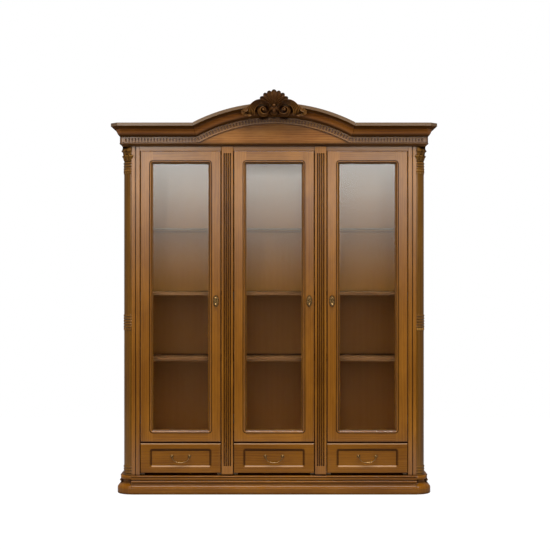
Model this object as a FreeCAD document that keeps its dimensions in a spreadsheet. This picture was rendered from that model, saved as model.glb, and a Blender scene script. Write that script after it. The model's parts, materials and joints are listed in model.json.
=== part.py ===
import FreeCAD, Part
import math
import os
import Sketcher

# A classical display cabinet in solid wood: three glazed doors over three drawers, two fluted
# pilasters, turned quarter columns at the front corners, and a cornice that rises in a low arch.
# X runs to the right, Y towards the back, Z up. The origin is on the floor, in the middle.

os.makedirs("parts", exist_ok=True)
V = FreeCAD.Vector
doc = FreeCAD.newDocument("display_cabinet")

# Driving dimensions in millimetres
SIZES = {
    # Carcass: depth from the stile faces to the back, and the stack of heights
    "body_depth": 400,
    "base_height": 99,
    "drawer_lift": 14,
    "drawer_height": 162,
    "front_gap": 11,
    "door_height": 1602,
    "top_gap": 3,
    "rail_height": 23,
    # Boards
    "board_thick": 18,
    "back_thick": 8,
    "side_thick": 20,
    "side_setback": 10,
    "deck_setback": 20,
    "stop_lap": 3,
    # Face frame: posts stand behind and beside the doors and carry their hinges
    "door_width": 443,
    "door_gap": 3.5,
    "pilaster_width": 65,
    "pilaster_proud": 6,
    "stile_gap": 3.5,
    "stile_width": 46,
    "stile_lip": 22,
    "stile_groove_width": 5,
    "stile_groove_depth": 5,
    "post_depth": 55,
    "rail_thick": 22,
    "edge_round": 3,
    # Flutes of a pilaster
    "flute_count": 4,
    "flute_pitch": 11.2,
    "flute_radius": 4.3,
    "flute_axis_lift": 1.4,
    "flute_foot": 52,
    "flute_head": 36,
    # Bows: height of an arc over its chord, as a share of the chord
    "quarter_bow_share": 0.2071,
    "round_bow_share": 0.499,
    "bead_bow_share": 0.42,
    "cove_bow_share": 0.2,
    "cyma_bow_share": 0.12,
    # Plinth moulding, reaches measured out from the stile faces
    "plinth_reach": 33,
    "plinth_inset": 6,
    "plinth_flat": 36,
    "plinth_round": 3,
    "top_bead": 8,
    "top_quirk": 2,
    "band_height": 11,
    "low_quirk": 5,
    "low_bead": 12,
    "cove_step": 2,
    "quirk_reach": 12,
    "bead_reach": 14,
    "band_reach": 16,
    "cove_reach": 15,
    # Turned corner block of the plinth
    "shoulder_drop": 6,
    "shoulder_height": 18,
    "shoulder_slope": 17,
    "shoulder_reach": 18,
    "neck_reach": 1,
    "neck_height": 10,
    "torus_reach": 5,
    # Quarter column
    "column_radius": 50,
    "shaft_recess": 2.5,
    "foot_fillet": 9,
    "ring_height": 15,
    "ring_bead_share": 0.85,
    "ring_seat_recess": 2,
    "foot_rings": 3,
    "middle_ring_share": 0.47,
    "middle_rings": 5,
    "neck_rings": 4,
    # Capital
    "capital_height": 82,
    "abacus_height": 9,
    "abacus_reach": 7,
    "bell_reach": 3,
    "bell_bow_share": 0.04,
    "leaf_count": 3,
    "leaf_radius": 8,
    "low_leaf_radius": 6.4,
    "leaf_reach": 2,
    "high_leaf_drop": 10,
    "low_leaf_drop": 46,
    # Cornice: heights from the top board up, reaches out from the stile faces
    "corner_cut": 3,
    "bed_reach": 16,
    "bed_strip": 4,
    "bed_toe": 2,
    "frieze_reach": 9,
    "dentil_reach": 14,
    "dentil_height": 34,
    "crown_height": 73,
    "crown_toe": 12,
    "ovolo_reach": 34,
    "ovolo_height": 41,
    "ovolo_bow_share": 0.1,
    "crown_step": 2,
    "cove_top_reach": 57,
    "fascia_reach": 61,
    "fascia_height": 17,
    "frieze_thick": 18,
    "frieze_drop": 9,
    "dust_board_thick": 12,
    # Arch over the middle
    "arch_half_span": 448,
    "arch_rise": 109,
    "arch_spare_share": 1.15,
    # Dentil slots
    "slot_pitch": 17.3,
    "slot_width": 8.5,
    "slot_height": 20,
    # Crest
    "crest_reach": 80,
    "crest_tube": 16,
    "shell_lobes": 5,
    "shell_lobe_angle": 23,
    "shell_root": 939,
    "shell_length": 92,
    "shell_root_radius": 5,
    "shell_neck_radius": 14.5,
    "shell_button": 10,
    "volute_offset": 59,
    "volute_root": 935,
    "volute_radius": 25,
    "volute_tube": 8,
    "volute_eye": 9,
    "scroll_length": 72,
    "scroll_angle": 116,
    "scroll_offset": 78,
    "scroll_root": 977,
    "scroll_fat": 14.5,
    "scroll_thin": 6,
    "leaf_offset": 130,
    "leaf_root": 947,
    "leaf_fat": 10.5,
    "leaf_thin": 5,
    "leaf_length": 50,
    "leaf_angle": 125,
    "pendant_length": 26,
    "pendant_radius": 7,
    # Shelves
    "glass_shelf_share": 0.736,
    "upper_shelf_share": 0.515,
    "lower_shelf_share": 0.285,
    "shelf_thick": 18,
    "glass_shelf_thick": 6,
    "shelf_setback": 62,
    "shelf_side_gap": 1,
    "shelf_back_gap": 4,
    "pin_radius": 3,
    "pin_length": 11,
    "pin_inset": 40,
    "pin_drop": 0.1,
    # Doors
    "door_proud": 4,
    "door_thick": 22,
    "door_round": 4,
    "glass_opening_side": 69,
    "glass_opening_top": 70,
    "glass_opening_foot": 66,
    "mould_width": 20,
    "mould_step": 3,
    "mould_quirk": 2,
    "mould_bead": 8,
    "mould_depth": 11,
    "mould_flat": 2,
    "mould_bow_share": 0.3,
    "rebate_width": 8,
    "rebate_depth": 9,
    "pane_thick": 4,
    "pane_gap": 1,
    "bead_thick": 4.5,
    # Concealed hinges
    "hinges_per_door": 3,
    "hinge_end": 120,
    "cup_radius": 17.5,
    "cup_gap": 0.1,
    "cup_depth": 10,
    "cup_edge": 23,
    "plate_thick": 2.5,
    "plate_height": 50,
    "plate_end_gap": 4,
    "arm_gap": 0.5,
    "arm_thick": 7,
    "arm_height": 14,
    # Drawers
    "sunk_side": 50,
    "sunk_top": 27,
    "sunk_mould": 15,
    "sunk_depth": 6,
    "sunk_step": 2,
    "sunk_flat": 2,
    "drawer_side_gap": 9,
    "drawer_side_thick": 12,
    "drawer_box_height": 125,
    "drawer_box_length": 345,
    "drawer_bottom_thick": 5,
    "drawer_bottom_lift": 10,
    "runner_height": 16,
    "runner_gap": 0.3,
    "runner_guide_height": 40,
    "runner_guide_gap": 1,
    "runner_guide_thick": 10,
    # Bail pulls
    "bail_centres": 96,
    "bail_height": 92,
    "bail_drop": 34,
    "bail_rod": 2.6,
    "bail_gap": 1,
    "rose_radius": 9,
    "rose_thick": 2.5,
    "post_radius": 3.6,
    "post_reach": 12,
    "knob_radius": 5.5,
    "pivot_radius": 1.8,
    "pivot_gap": 0.06,
    "pivot_end_gap": 0.5,
    # Drop pulls
    "pull_edge": 27,
    "pull_centre_share": 0.484,
    "pull_plate_width": 26,
    "pull_plate_height": 62,
    "pull_plate_thick": 2.5,
    "pull_boss_radius": 9,
    "pull_boss_thick": 3,
    "plate_bow_share": 0.16,
    "pull_pivot_lift": 17,
    "ear_reach": 12,
    "ear_radius": 3.6,
    "ear_width": 2.4,
    "drop_barrel_radius": 3,
    "drop_barrel_width": 5,
    "drop_barrel_gap": 0.3,
    "drop_length": 40,
    "drop_neck": 1.8,
    "drop_radius": 6.2,
    "drop_pin_radius": 1.5,
    # One overrun for all cuts
    "overrun": 5,
}

# Places worked out from the driving dimensions
PLACES = {
    "front": "(Sizes.crest_reach - Sizes.body_depth) / 2",
    "back": "Places.front + Sizes.body_depth",
    "drawer_foot": "Sizes.base_height + Sizes.drawer_lift",
    "drawer_head": "Places.drawer_foot + Sizes.drawer_height",
    "door_foot": "Places.drawer_head + Sizes.front_gap",
    "door_head": "Places.door_foot + Sizes.door_height",
    "rail_foot": "Places.door_head + Sizes.top_gap",
    "carcass_top": "Places.rail_foot + Sizes.rail_height",
    "frieze_foot": "Places.carcass_top + Sizes.board_thick",
    "crown_foot": "Places.frieze_foot + Sizes.dentil_height",
    "crown_head": "Places.crown_foot + Sizes.crown_height",
    "frieze_head": "Places.crown_head - Sizes.frieze_drop",
    "deck_head": "Places.door_foot + Sizes.stop_lap",
    "deck_foot": "Places.deck_head - Sizes.board_thick",
    "pilaster_in": "Sizes.door_width / 2 + Sizes.door_gap",
    "pilaster_out": "Places.pilaster_in + Sizes.pilaster_width",
    "outer_bay": "Places.pilaster_out + Sizes.door_gap + Sizes.door_width / 2",
    "stile_in": "Places.outer_bay + Sizes.door_width / 2 + Sizes.stile_gap",
    "stile_out": "Places.stile_in + Sizes.stile_width",
    "side": "Places.stile_out + Sizes.column_radius",
    "wall_out": "Places.side - Sizes.side_setback",
    "wall_in": "Places.wall_out - Sizes.side_thick",
    "partition": "(Places.pilaster_in + Places.pilaster_out) / 2",
    "partition_in": "Places.partition - Sizes.board_thick / 2",
    "partition_out": "Places.partition + Sizes.board_thick / 2",
    "column_y": "Places.front + Sizes.column_radius",
    "posts_back": "Places.front + Sizes.post_depth",
    "inner_back": "Places.back - Sizes.back_thick",
    "door_face": "Places.front - Sizes.door_proud",
    "door_back": "Places.door_face + Sizes.door_thick",
    "column_head": "Places.carcass_top - Sizes.capital_height",
    "shaft_radius": "Sizes.column_radius - Sizes.shaft_recess",
    "neck_ring_foot": "Places.column_head - Sizes.neck_rings * Sizes.ring_height",
    "middle_ring_foot": "Sizes.base_height"
                        " + Sizes.middle_ring_share * (Places.column_head - Sizes.base_height)",
    "arch_radius": "(Sizes.arch_half_span ^ 2 + Sizes.arch_rise ^ 2) / (2 * Sizes.arch_rise)",
    "arch_centre": "Places.crown_head + Sizes.arch_rise - Places.arch_radius",
    "cut_run": "Sizes.frieze_reach * (2 - sqrt(2)) + Sizes.corner_cut",
    "opening_width": "Sizes.door_width - 2 * Sizes.glass_opening_side",
    "opening_foot": "Sizes.glass_opening_foot",
    "opening_head": "Sizes.door_height - Sizes.glass_opening_top",
    "pull_centre": "Places.door_foot + Sizes.pull_centre_share * Sizes.door_height",
    "sunk_width": "Sizes.door_width - 2 * (Sizes.sunk_side + Sizes.sunk_mould)",
    "sunk_foot": "Sizes.sunk_top + Sizes.sunk_mould",
    "sunk_head": "Sizes.drawer_height - Sizes.sunk_top - Sizes.sunk_mould",
    "drawer_box_half": "Sizes.door_width / 2 - Sizes.drawer_side_gap",
    "box_foot": "Sizes.base_height + Sizes.runner_height + Sizes.runner_gap",
    "bail_half": "Sizes.bail_centres / 2 - Sizes.knob_radius - Sizes.bail_rod - Sizes.bail_gap",
    "bail_radius": "(Places.bail_half ^ 2 + Sizes.bail_drop ^ 2) / (2 * Sizes.bail_drop)",
}


def write_sheet(name, cells):
    """A spreadsheet with one alias for each value."""
    sheet = doc.addObject("Spreadsheet::Sheet", name)
    for row, (alias, content) in enumerate(cells.items(), start=1):
        sheet.set(f"A{row}", alias)
        sheet.setAlias(f"B{row}", alias)
        sheet.set(f"B{row}", content if isinstance(content, str) else str(content))
    doc.recompute()
    return sheet


write_sheet("Sizes", SIZES)
places = write_sheet("Places", {alias: "=" + rule for alias, rule in PLACES.items()})


def number(expression):
    """The value of an expression over the two sheets."""
    return float(places.evalExpression(expression))


def bind_place(thing, x="0", y="0", z="0"):
    """Places an object by three expressions."""
    for axis, rule in zip("xyz", (x, y, z)):
        thing.setExpression(f"Placement.Base.{axis}", rule)
    return thing


# Solids from primitives

def board(name, low, high):
    """A straight board between two corners, each given as three expressions."""
    solid = doc.addObject("Part::Box", name)
    for side, start, end in zip(("Length", "Width", "Height"), low, high):
        solid.setExpression(side, f"({end}) - ({start})")
    return bind_place(solid, *low)


def rod(name, axis, radius, length, x, y, z):
    """A round bar that starts at a point and runs along +X, +Y or +Z."""
    solid = doc.addObject("Part::Cylinder", name)
    turns = {"x": (V(0, 1, 0), 90), "y": (V(1, 0, 0), -90), "z": (V(0, 0, 1), 0)}
    solid.Placement.Rotation = FreeCAD.Rotation(*turns[axis])
    solid.setExpression("Radius", radius)
    solid.setExpression("Height", length)
    return bind_place(solid, x, y, z)


def ball(name, radius, x, y, z):
    solid = doc.addObject("Part::Sphere", name)
    solid.setExpression("Radius", radius)
    return bind_place(solid, x, y, z)


def fuse(name, parts):
    whole = doc.addObject("Part::MultiFuse", name)
    whole.Shapes = parts
    return whole


def cut(name, base, tools):
    """The base without the tools."""
    result = doc.addObject("Part::Cut", name)
    result.Base = base
    result.Tool = tools[0] if len(tools) == 1 else fuse(name + "_tools", tools)
    return result


def common(name, base, tool):
    result = doc.addObject("Part::Common", name)
    result.Base = base
    result.Tool = tool
    return result


def group(name, parts):
    """Several separate solids of one kind under one name."""
    compound = doc.addObject("Part::Compound", name)
    compound.Links = parts
    return compound


def mirrored(name, source):
    """The piece on the other side of the middle plane."""
    twin = doc.addObject("Part::Mirroring", name)
    twin.Source = source
    twin.Base = V(0, 0, 0)
    twin.Normal = V(1, 0, 0)
    return twin


# Solids from sketches

def new_body(name):
    return doc.addObject("PartDesign::Body", name)


def arc_piece(start, end, bow):
    """A circular arc over a chord, bulging to the right of its direction where bow is positive."""
    chord = (end - start).Length
    radius = chord * (1 / (8 * abs(bow)) + abs(bow) / 2)
    first, last = (start, end) if bow > 0 else (end, start)
    along = (last - first).normalize()
    left = V(-along.y, along.x, 0)
    centre = (start + end) / 2 + left * (radius - chord * abs(bow))
    angles = [math.atan2(p.y - centre.y, p.x - centre.x) for p in (first, last)]
    if angles[1] < angles[0]:
        angles[1] += 2 * math.pi
    return Part.ArcOfCircle(Part.Circle(centre, V(0, 0, 1), radius), *angles)


def outline(body, name, role, points, closed=True, lift=None):
    """
    A sketch on one of the body's origin planes. Each point is two expressions, and a third one
    makes the piece to the next point an arc of that bow.
    """
    sketch = body.newObject("Sketcher::SketchObject", name)
    plane = next(item for item in body.Origin.OriginFeatures if item.Role == role)
    sketch.AttachmentSupport = [(plane, "")]
    sketch.MapMode = "FlatFace"
    if lift:
        sketch.setExpression("AttachmentOffset.Base.z", lift)
    spots = [V(number(point[0]), number(point[1]), 0) for point in points]
    count = len(points) if closed else len(points) - 1
    ends = []
    radii = []
    for index in range(count):
        after = (index + 1) % len(points)
        bow = points[index][2] if len(points[index]) == 3 else None
        if bow is None:
            sketch.addGeometry(Part.LineSegment(spots[index], spots[after]))
            ends.append((1, 2))
            continue
        sketch.addGeometry(arc_piece(spots[index], spots[after], number(bow)))
        ends.append((1, 2) if number(bow) > 0 else (2, 1))
        across = f"({points[after][0]}) - ({points[index][0]})"
        upward = f"({points[after][1]}) - ({points[index][1]})"
        chord = f"hypot({across}; {upward})"
        radii.append((index, f"{chord} * (1 / (8 * abs({bow})) + abs({bow}) / 2)"))
    for index in range(count if closed else count - 1):
        after = (index + 1) % count
        sketch.addConstraint(Sketcher.Constraint(
            "Coincident", index, ends[index][1], after, ends[after][0]))
    vertices = [(index, ends[index][0], points[index]) for index in range(count)]
    if not closed:
        vertices.append((count - 1, ends[-1][1], points[-1]))
    for index, end, point in vertices:
        for kind, rule in zip(("DistanceX", "DistanceY"), point):
            place = sketch.addConstraint(
                Sketcher.Constraint(kind, -1, 1, index, end, number(rule)))
            sketch.setExpression(f"Constraints[{place}]", rule)
    for index, rule in radii:
        place = sketch.addConstraint(Sketcher.Constraint("Radius", index, number(rule)))
        sketch.setExpression(f"Constraints[{place}]", rule)
    doc.recompute()
    return sketch


def pad(body, sketch, length, middle=False):
    feature = body.newObject("PartDesign::Pad", sketch.Name + "_pad")
    feature.Profile = sketch
    feature.Midplane = middle
    feature.setExpression("Length", length)
    doc.recompute()
    return feature


def pocket(body, sketch, depth=None, middle=False, reverse=False):
    """A cut from the sketch, through everything where no depth is given."""
    before = body.Shape.Volume
    feature = body.newObject("PartDesign::Pocket", sketch.Name + "_pocket")
    feature.Profile = sketch
    feature.Midplane = middle
    feature.Reversed = reverse
    if depth:
        feature.setExpression("Length", depth)
    else:
        feature.Type = "ThroughAll"
    doc.recompute()
    assert feature.Shape.Volume < before, sketch.Name + " cuts nothing"
    return feature


def revolve(body, sketch, angle, axis="V_Axis", middle=False):
    feature = body.newObject("PartDesign::Revolution", sketch.Name + "_turn")
    feature.Profile = sketch
    feature.ReferenceAxis = (sketch, [axis])
    feature.Midplane = middle
    feature.setExpression("Angle", angle)
    doc.recompute()
    return feature


def sweep(body, profile, path, cutting=False, corner="Right corner"):
    """A moulding of one section along a path with mitred or rounded corners."""
    kind = "PartDesign::SubtractivePipe" if cutting else "PartDesign::AdditivePipe"
    feature = body.newObject(kind, profile.Name + "_run")
    feature.Profile = profile
    feature.Spine = (path, [])
    feature.Transition = corner
    doc.recompute()
    return feature


kept = []


def keep(piece):
    """Lists a finished piece for export under its own label."""
    kept.append(piece)
    return piece


SIDES = {"left": -1, "right": 1}


def across(sign, inner, outer):
    """Low and high X of something between two distances from the middle, on one side of it."""
    return (inner, outer) if sign > 0 else (f"-({outer})", f"-({inner})")


# Side panels: plain boards from the floor to the top board, behind the quarter columns
for side, sign in SIDES.items():
    low_x, high_x = across(sign, "Places.wall_in", "Places.wall_out")
    keep(board(f"side_panel_{side}", (low_x, "Places.column_y", "0"),
               (high_x, "Places.back", "Places.carcass_top")))

# Partitions: upright boards behind the pilasters
for side, sign in SIDES.items():
    low_x, high_x = across(sign, "Places.partition_in", "Places.partition_out")
    keep(board(f"partition_{side}", (low_x, "Places.posts_back", "Sizes.base_height"),
               (high_x, "Places.inner_back", "Places.carcass_top")))

# Bottom board: between the side panels, with a tongue that reaches the plinth between the corners
bottom_low = "Sizes.base_height - Sizes.board_thick"
keep(fuse("bottom_board", [
    board("bottom_main", ("-Places.wall_in", "Places.column_y", bottom_low),
          ("Places.wall_in", "Places.back", "Sizes.base_height")),
    board("bottom_tongue",
          ("-Places.stile_out", "Places.front + Sizes.plinth_inset", bottom_low),
          ("Places.stile_out", "Places.column_y", "Sizes.base_height")),
]))


# Drawer decks: one board in each bay over the drawer, the stop for both fronts
def deck(name, wide_low, wide_high, narrow_low, narrow_high):
    return fuse(name, [
        board(name + "_main", (wide_low, "Places.posts_back", "Places.deck_foot"),
              (wide_high, "Places.inner_back", "Places.deck_head")),
        board(name + "_tongue",
              (narrow_low, "Places.front + Sizes.deck_setback", "Places.deck_foot"),
              (narrow_high, "Places.posts_back", "Places.deck_head")),
    ])


decks = [deck("deck_centre", "-Places.partition_in", "Places.partition_in",
              "-Places.pilaster_in", "Places.pilaster_in")]
for side, sign in SIDES.items():
    decks.append(deck(f"deck_{side}", *across(sign, "Places.partition_out", "Places.wall_in"),
                      *across(sign, "Places.pilaster_out", "Places.stile_in")))
keep(group("drawer_decks", decks))

# Top board: covers posts, columns and panels, its front corners cut for the cornice
top_body = new_body("top_board")
bind_place(top_body, z="Places.carcass_top")
top_plan = outline(top_body, "top_plan", "XY_Plane", [
    ("-Places.side", "Places.front + Sizes.corner_cut"),
    ("-Places.side + Sizes.corner_cut", "Places.front"),
    ("Places.side - Sizes.corner_cut", "Places.front"),
    ("Places.side", "Places.front + Sizes.corner_cut"),
    ("Places.side", "Places.back"),
    ("-Places.side", "Places.back"),
])
pad(top_body, top_plan, "Sizes.board_thick")
keep(top_body)

# Back panels: one thin board behind each bay, meeting behind the partitions
back_edges = ["-Places.wall_in", "-Places.partition", "Places.partition", "Places.wall_in"]
keep(group("back_panels", [
    board(f"back_{index}", (back_edges[index], "Places.inner_back", "Sizes.base_height"),
          (back_edges[index + 1], "Places.back", "Places.carcass_top"))
    for index in range(3)
]))

# Pilasters: fluted posts between the doors
flute_end = "Places.carcass_top - Sizes.flute_head - Sizes.flute_radius"
flute_start = "Sizes.base_height + Sizes.flute_foot + Sizes.flute_radius"
pilaster_face = "Places.front - Sizes.pilaster_proud"
for side, sign in SIDES.items():
    post = new_body(f"pilaster_{side}_post")
    bind_place(post, x=f"{sign} * Places.partition", z="Sizes.base_height")
    half, ease = "Sizes.pilaster_width / 2", "Sizes.edge_round"
    post_plan = outline(post, f"pilaster_{side}_plan", "XY_Plane", [
        (f"-{half} + {ease}", pilaster_face),
        (f"{half} - {ease}", pilaster_face, "Sizes.quarter_bow_share"),
        (half, f"{pilaster_face} + {ease}"),
        (half, "Places.posts_back"),
        (f"-{half}", "Places.posts_back"),
        (f"-{half}", f"{pilaster_face} + {ease}", "Sizes.quarter_bow_share"),
    ])
    pad(post, post_plan, "Places.carcass_top - Sizes.base_height")
    flutes = []
    for index in range(int(number("Sizes.flute_count"))):
        x = (f"{sign} * Places.partition"
             f" + ({index} - (Sizes.flute_count - 1) / 2) * Sizes.flute_pitch")
        y = f"{pilaster_face} - Sizes.flute_axis_lift"
        label = f"flute_{side}_{index}"
        flutes.append(rod(label, "z", "Sizes.flute_radius", f"({flute_end}) - ({flute_start})",
                          x, y, flute_start))
        flutes.append(ball(label + "_foot", "Sizes.flute_radius", x, y, flute_start))
        flutes.append(ball(label + "_head", "Sizes.flute_radius", x, y, flute_end))
    keep(cut(f"pilaster_{side}", post, flutes))

# Face stiles: outer posts with one groove, the outer doors hang on them
groove_in = "Places.stile_in + Sizes.stile_lip"
groove_out = f"{groove_in} + Sizes.stile_groove_width"
stile = new_body("face_stile_right")
bind_place(stile, z="Sizes.base_height")
stile_plan = outline(stile, "stile_plan", "XY_Plane", [
    ("Places.stile_in + Sizes.edge_round", "Places.front"),
    (f"{groove_in} - Sizes.edge_round / 2", "Places.front", "Sizes.quarter_bow_share"),
    (groove_in, "Places.front + Sizes.edge_round / 2"),
    (groove_in, "Places.front + Sizes.stile_groove_depth"),
    (groove_out, "Places.front + Sizes.stile_groove_depth"),
    (groove_out, "Places.front + Sizes.edge_round / 2", "Sizes.quarter_bow_share"),
    (f"{groove_out} + Sizes.edge_round / 2", "Places.front"),
    ("Places.stile_out", "Places.front"),
    ("Places.stile_out", "Places.posts_back"),
    ("Places.stile_in", "Places.posts_back"),
    ("Places.stile_in", "Places.front + Sizes.edge_round", "Sizes.quarter_bow_share"),
])
pad(stile, stile_plan, "Places.carcass_top - Sizes.base_height")
keep(stile)
keep(mirrored("face_stile_left", stile))

# Top rails: one over each door, between the posts
rail_edges = [("-Places.stile_in", "-Places.pilaster_out"),
              ("-Places.pilaster_in", "Places.pilaster_in"),
              ("Places.pilaster_out", "Places.stile_in")]
keep(group("top_rails", [
    board(f"top_rail_{index}", (low_x, "Places.front", "Places.rail_foot"),
          (high_x, "Places.front + Sizes.rail_thick", "Places.carcass_top"))
    for index, (low_x, high_x) in enumerate(rail_edges)
]))


# Plinth: one moulding in front and along both sides, from turned corner blocks
def plinth_points(origin, sign, inset):
    """The plinth section; sign is the way out along the sketch's first axis."""
    out = "+" if sign > 0 else "-"
    turn = "-" if sign > 0 else ""
    level = ["Sizes.base_height"]
    for step in ("top_bead", "top_quirk", "band_height", "low_quirk", "low_bead", "cove_step"):
        level.append(f"{level[-1]} - Sizes.{step}")

    def at(reach):
        return f"{origin} {out} ({reach})"

    return [
        (at(f"-{inset}"), "0"),
        (at(f"-{inset}"), level[0]),
        (at("Sizes.bead_reach"), level[0], f"{turn}Sizes.bead_bow_share"),
        (at("Sizes.bead_reach"), level[1]),
        (at("Sizes.quirk_reach"), level[1]),
        (at("Sizes.quirk_reach"), level[2]),
        (at("Sizes.band_reach"), level[2]),
        (at("Sizes.band_reach"), level[3]),
        (at("Sizes.quirk_reach"), level[3]),
        (at("Sizes.quirk_reach"), level[4]),
        (at("Sizes.band_reach"), level[4], f"{turn}Sizes.bead_bow_share"),
        (at("Sizes.band_reach"), level[5]),
        (at("Sizes.cove_reach"), level[5]),
        (at("Sizes.cove_reach"), level[6], f"{'' if turn else '-'}Sizes.cove_bow_share"),
        (at("Sizes.plinth_reach - Sizes.plinth_round"), "Sizes.plinth_flat",
         f"{turn}Sizes.quarter_bow_share"),
        (at("Sizes.plinth_reach"), "Sizes.plinth_flat - Sizes.plinth_round"),
        (at("Sizes.plinth_reach"), "0"),
    ]


plinth_front = new_body("plinth_front")
section = outline(plinth_front, "plinth_front_section", "YZ_Plane",
                  plinth_points("Places.front", -1, "Sizes.plinth_inset"))
pad(plinth_front, section, "2 * Places.stile_out", middle=True)
keep(plinth_front)

plinth_side = new_body("plinth_side_right")
section = outline(plinth_side, "plinth_side_section", "XZ_Plane",
                  plinth_points("Places.side", 1, "Sizes.side_setback"), lift="-Places.back")
pad(plinth_side, section, "Places.back - Places.column_y")
keep(group("plinth_sides", [plinth_side, mirrored("plinth_side_left", plinth_side)]))


def turned_quarter(name, side, foot, points):
    """A quarter of a turning about the corner axis; points are radius and height pairs."""
    body = new_body(name)
    sign = SIDES[side]
    bind_place(body, x=f"{sign} * Places.stile_out", y="Places.column_y", z=foot)
    body.Placement.Rotation = FreeCAD.Rotation(V(0, 0, 1), -90 if sign > 0 else 180)
    section = outline(body, name + "_section", "XZ_Plane", points)
    revolve(body, section, "90")
    return body


corner_radius = "Sizes.column_radius + Sizes.plinth_reach"
shoulder_foot = "Sizes.plinth_flat - Sizes.shoulder_drop"
shoulder_top = f"{shoulder_foot} + Sizes.shoulder_height + Sizes.shoulder_slope"
neck_radius = "Sizes.column_radius + Sizes.neck_reach"
torus_radius = "Sizes.column_radius + Sizes.torus_reach"
for side in SIDES:
    keep(turned_quarter(f"plinth_corner_{side}", side, "0", [
        ("0", "0"),
        (f"{corner_radius} - Sizes.plinth_round", "0", "Sizes.quarter_bow_share"),
        (corner_radius, "Sizes.plinth_round"),
        (corner_radius, shoulder_foot, "Sizes.cyma_bow_share"),
        (f"Sizes.column_radius + Sizes.shoulder_reach", f"{shoulder_foot} + Sizes.shoulder_height",
         "-Sizes.cyma_bow_share"),
        (neck_radius, shoulder_top),
        (neck_radius, f"{shoulder_top} + Sizes.neck_height"),
        (torus_radius, f"{shoulder_top} + Sizes.neck_height", "Sizes.bead_bow_share"),
        (torus_radius, "Sizes.base_height"),
        ("0", "Sizes.base_height"),
    ]))


# Corner columns: turned quarters with rings at the foot, at half height and under the capital
def rings(foot, count):
    """The points of a row of turned beads, from a height upwards."""
    seat = "Sizes.column_radius - Sizes.ring_seat_recess"
    points = []
    for index in range(count):
        low = f"{foot} + {index} * Sizes.ring_height"
        points.append((seat, low, "Sizes.bead_bow_share / 2"))
        points.append((seat, f"{low} + Sizes.ring_height * Sizes.ring_bead_share"))
    return points


foot_ring_base = "Sizes.base_height + Sizes.foot_fillet"
for side in SIDES:
    column_points = [("0", "Sizes.base_height"), (neck_radius, "Sizes.base_height"),
                     (neck_radius, foot_ring_base)]
    for base, ring_count in ((foot_ring_base, "Sizes.foot_rings"),
                             ("Places.middle_ring_foot", "Sizes.middle_rings"),
                             ("Places.neck_ring_foot", "Sizes.neck_rings")):
        rows = rings(base, int(number(ring_count)))
        if base != foot_ring_base:
            column_points.append(("Places.shaft_radius", base))
        column_points += rows
        column_points.append(("Places.shaft_radius", rows[-1][1]))
    column_points.append(("Places.shaft_radius", "Places.column_head"))
    column_points.append(("0", "Places.column_head"))
    keep(turned_quarter(f"column_{side}", side, "0", column_points))

# Capitals: a turned bell with two tiers of curled leaves under a thin abacus
abacus_foot = "Places.carcass_top - Sizes.abacus_height"
abacus_radius = "Sizes.column_radius + Sizes.abacus_reach"
for side, sign in SIDES.items():
    bell = turned_quarter(f"bell_{side}", side, "0", [
        ("0", "Places.column_head"),
        ("Places.shaft_radius", "Places.column_head", "-Sizes.bell_bow_share"),
        ("Sizes.column_radius + Sizes.bell_reach", abacus_foot),
        (abacus_radius, abacus_foot),
        (abacus_radius, "Places.carcass_top"),
        ("0", "Places.carcass_top"),
    ])
    leaves = [bell]
    leaf_axis = "(Sizes.column_radius + Sizes.abacus_reach + Sizes.leaf_reach - Sizes.leaf_radius)"
    for index in range(int(number("Sizes.leaf_count"))):
        angle = f"({index} + 0.5) * 90 / Sizes.leaf_count"
        x = f"{sign} * (Places.stile_out + {leaf_axis} * cos({angle}))"
        y = f"Places.column_y - {leaf_axis} * sin({angle})"
        tier = f"{abacus_foot} - Sizes.high_leaf_drop"
        leaves.append(ball(f"leaf_{side}_{index}", "Sizes.leaf_radius", x, y, tier))
        x = f"{sign} * (Places.stile_out + Places.shaft_radius * cos({angle}))"
        y = f"Places.column_y - Places.shaft_radius * sin({angle})"
        tier = f"{abacus_foot} - Sizes.low_leaf_drop"
        leaves.append(ball(f"low_leaf_{side}_{index}", "Sizes.low_leaf_radius", x, y, tier))
    keep(fuse(f"capital_{side}", leaves))


# Cornice: mouldings of one section each, run across the front and back along the sides
def corner_path(body, name, reach):
    """Half of the cornice line at one reach: front, cut corner, side."""
    run = f"{reach} * (sqrt(2) - 1) - Sizes.corner_cut"
    return outline(body, name, "XY_Plane", [
        ("0", f"Places.front - {reach}"),
        (f"Places.side + {run}", f"Places.front - {reach}"),
        (f"Places.side + {reach}", f"Places.front - ({run})"),
        (f"Places.side + {reach}", "Places.back"),
    ], closed=False, lift="Places.carcass_top")


def reach_points(rows):
    """Section points in the YZ plane from reach and height pairs."""
    return [(f"Places.front - ({row[0]})",) + tuple(row[1:]) for row in rows]


bed = new_body("bed_mould_right")
bed_section = outline(bed, "bed_section", "YZ_Plane", reach_points([
    ("0", "Places.carcass_top"),
    ("0", "Places.frieze_foot"),
    ("Sizes.bed_reach", "Places.frieze_foot"),
    ("Sizes.bed_reach", "Places.frieze_foot - Sizes.bed_strip", "-Sizes.cove_bow_share"),
    ("Sizes.bed_toe", "Places.carcass_top"),
]))
sweep(bed, bed_section, corner_path(bed, "bed_path", "0"))
keep(group("bed_mould", [bed, mirrored("bed_mould_left", bed)]))


# The arch: circular mouldings that meet the straight ones at a mitred knee
def knee_x(drop):
    """Distance from the middle where arch and straight meet, at a drop below the crown's top."""
    return f"sqrt(Sizes.arch_rise * (2 * Places.arch_radius - 2 * ({drop}) - Sizes.arch_rise))"


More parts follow.
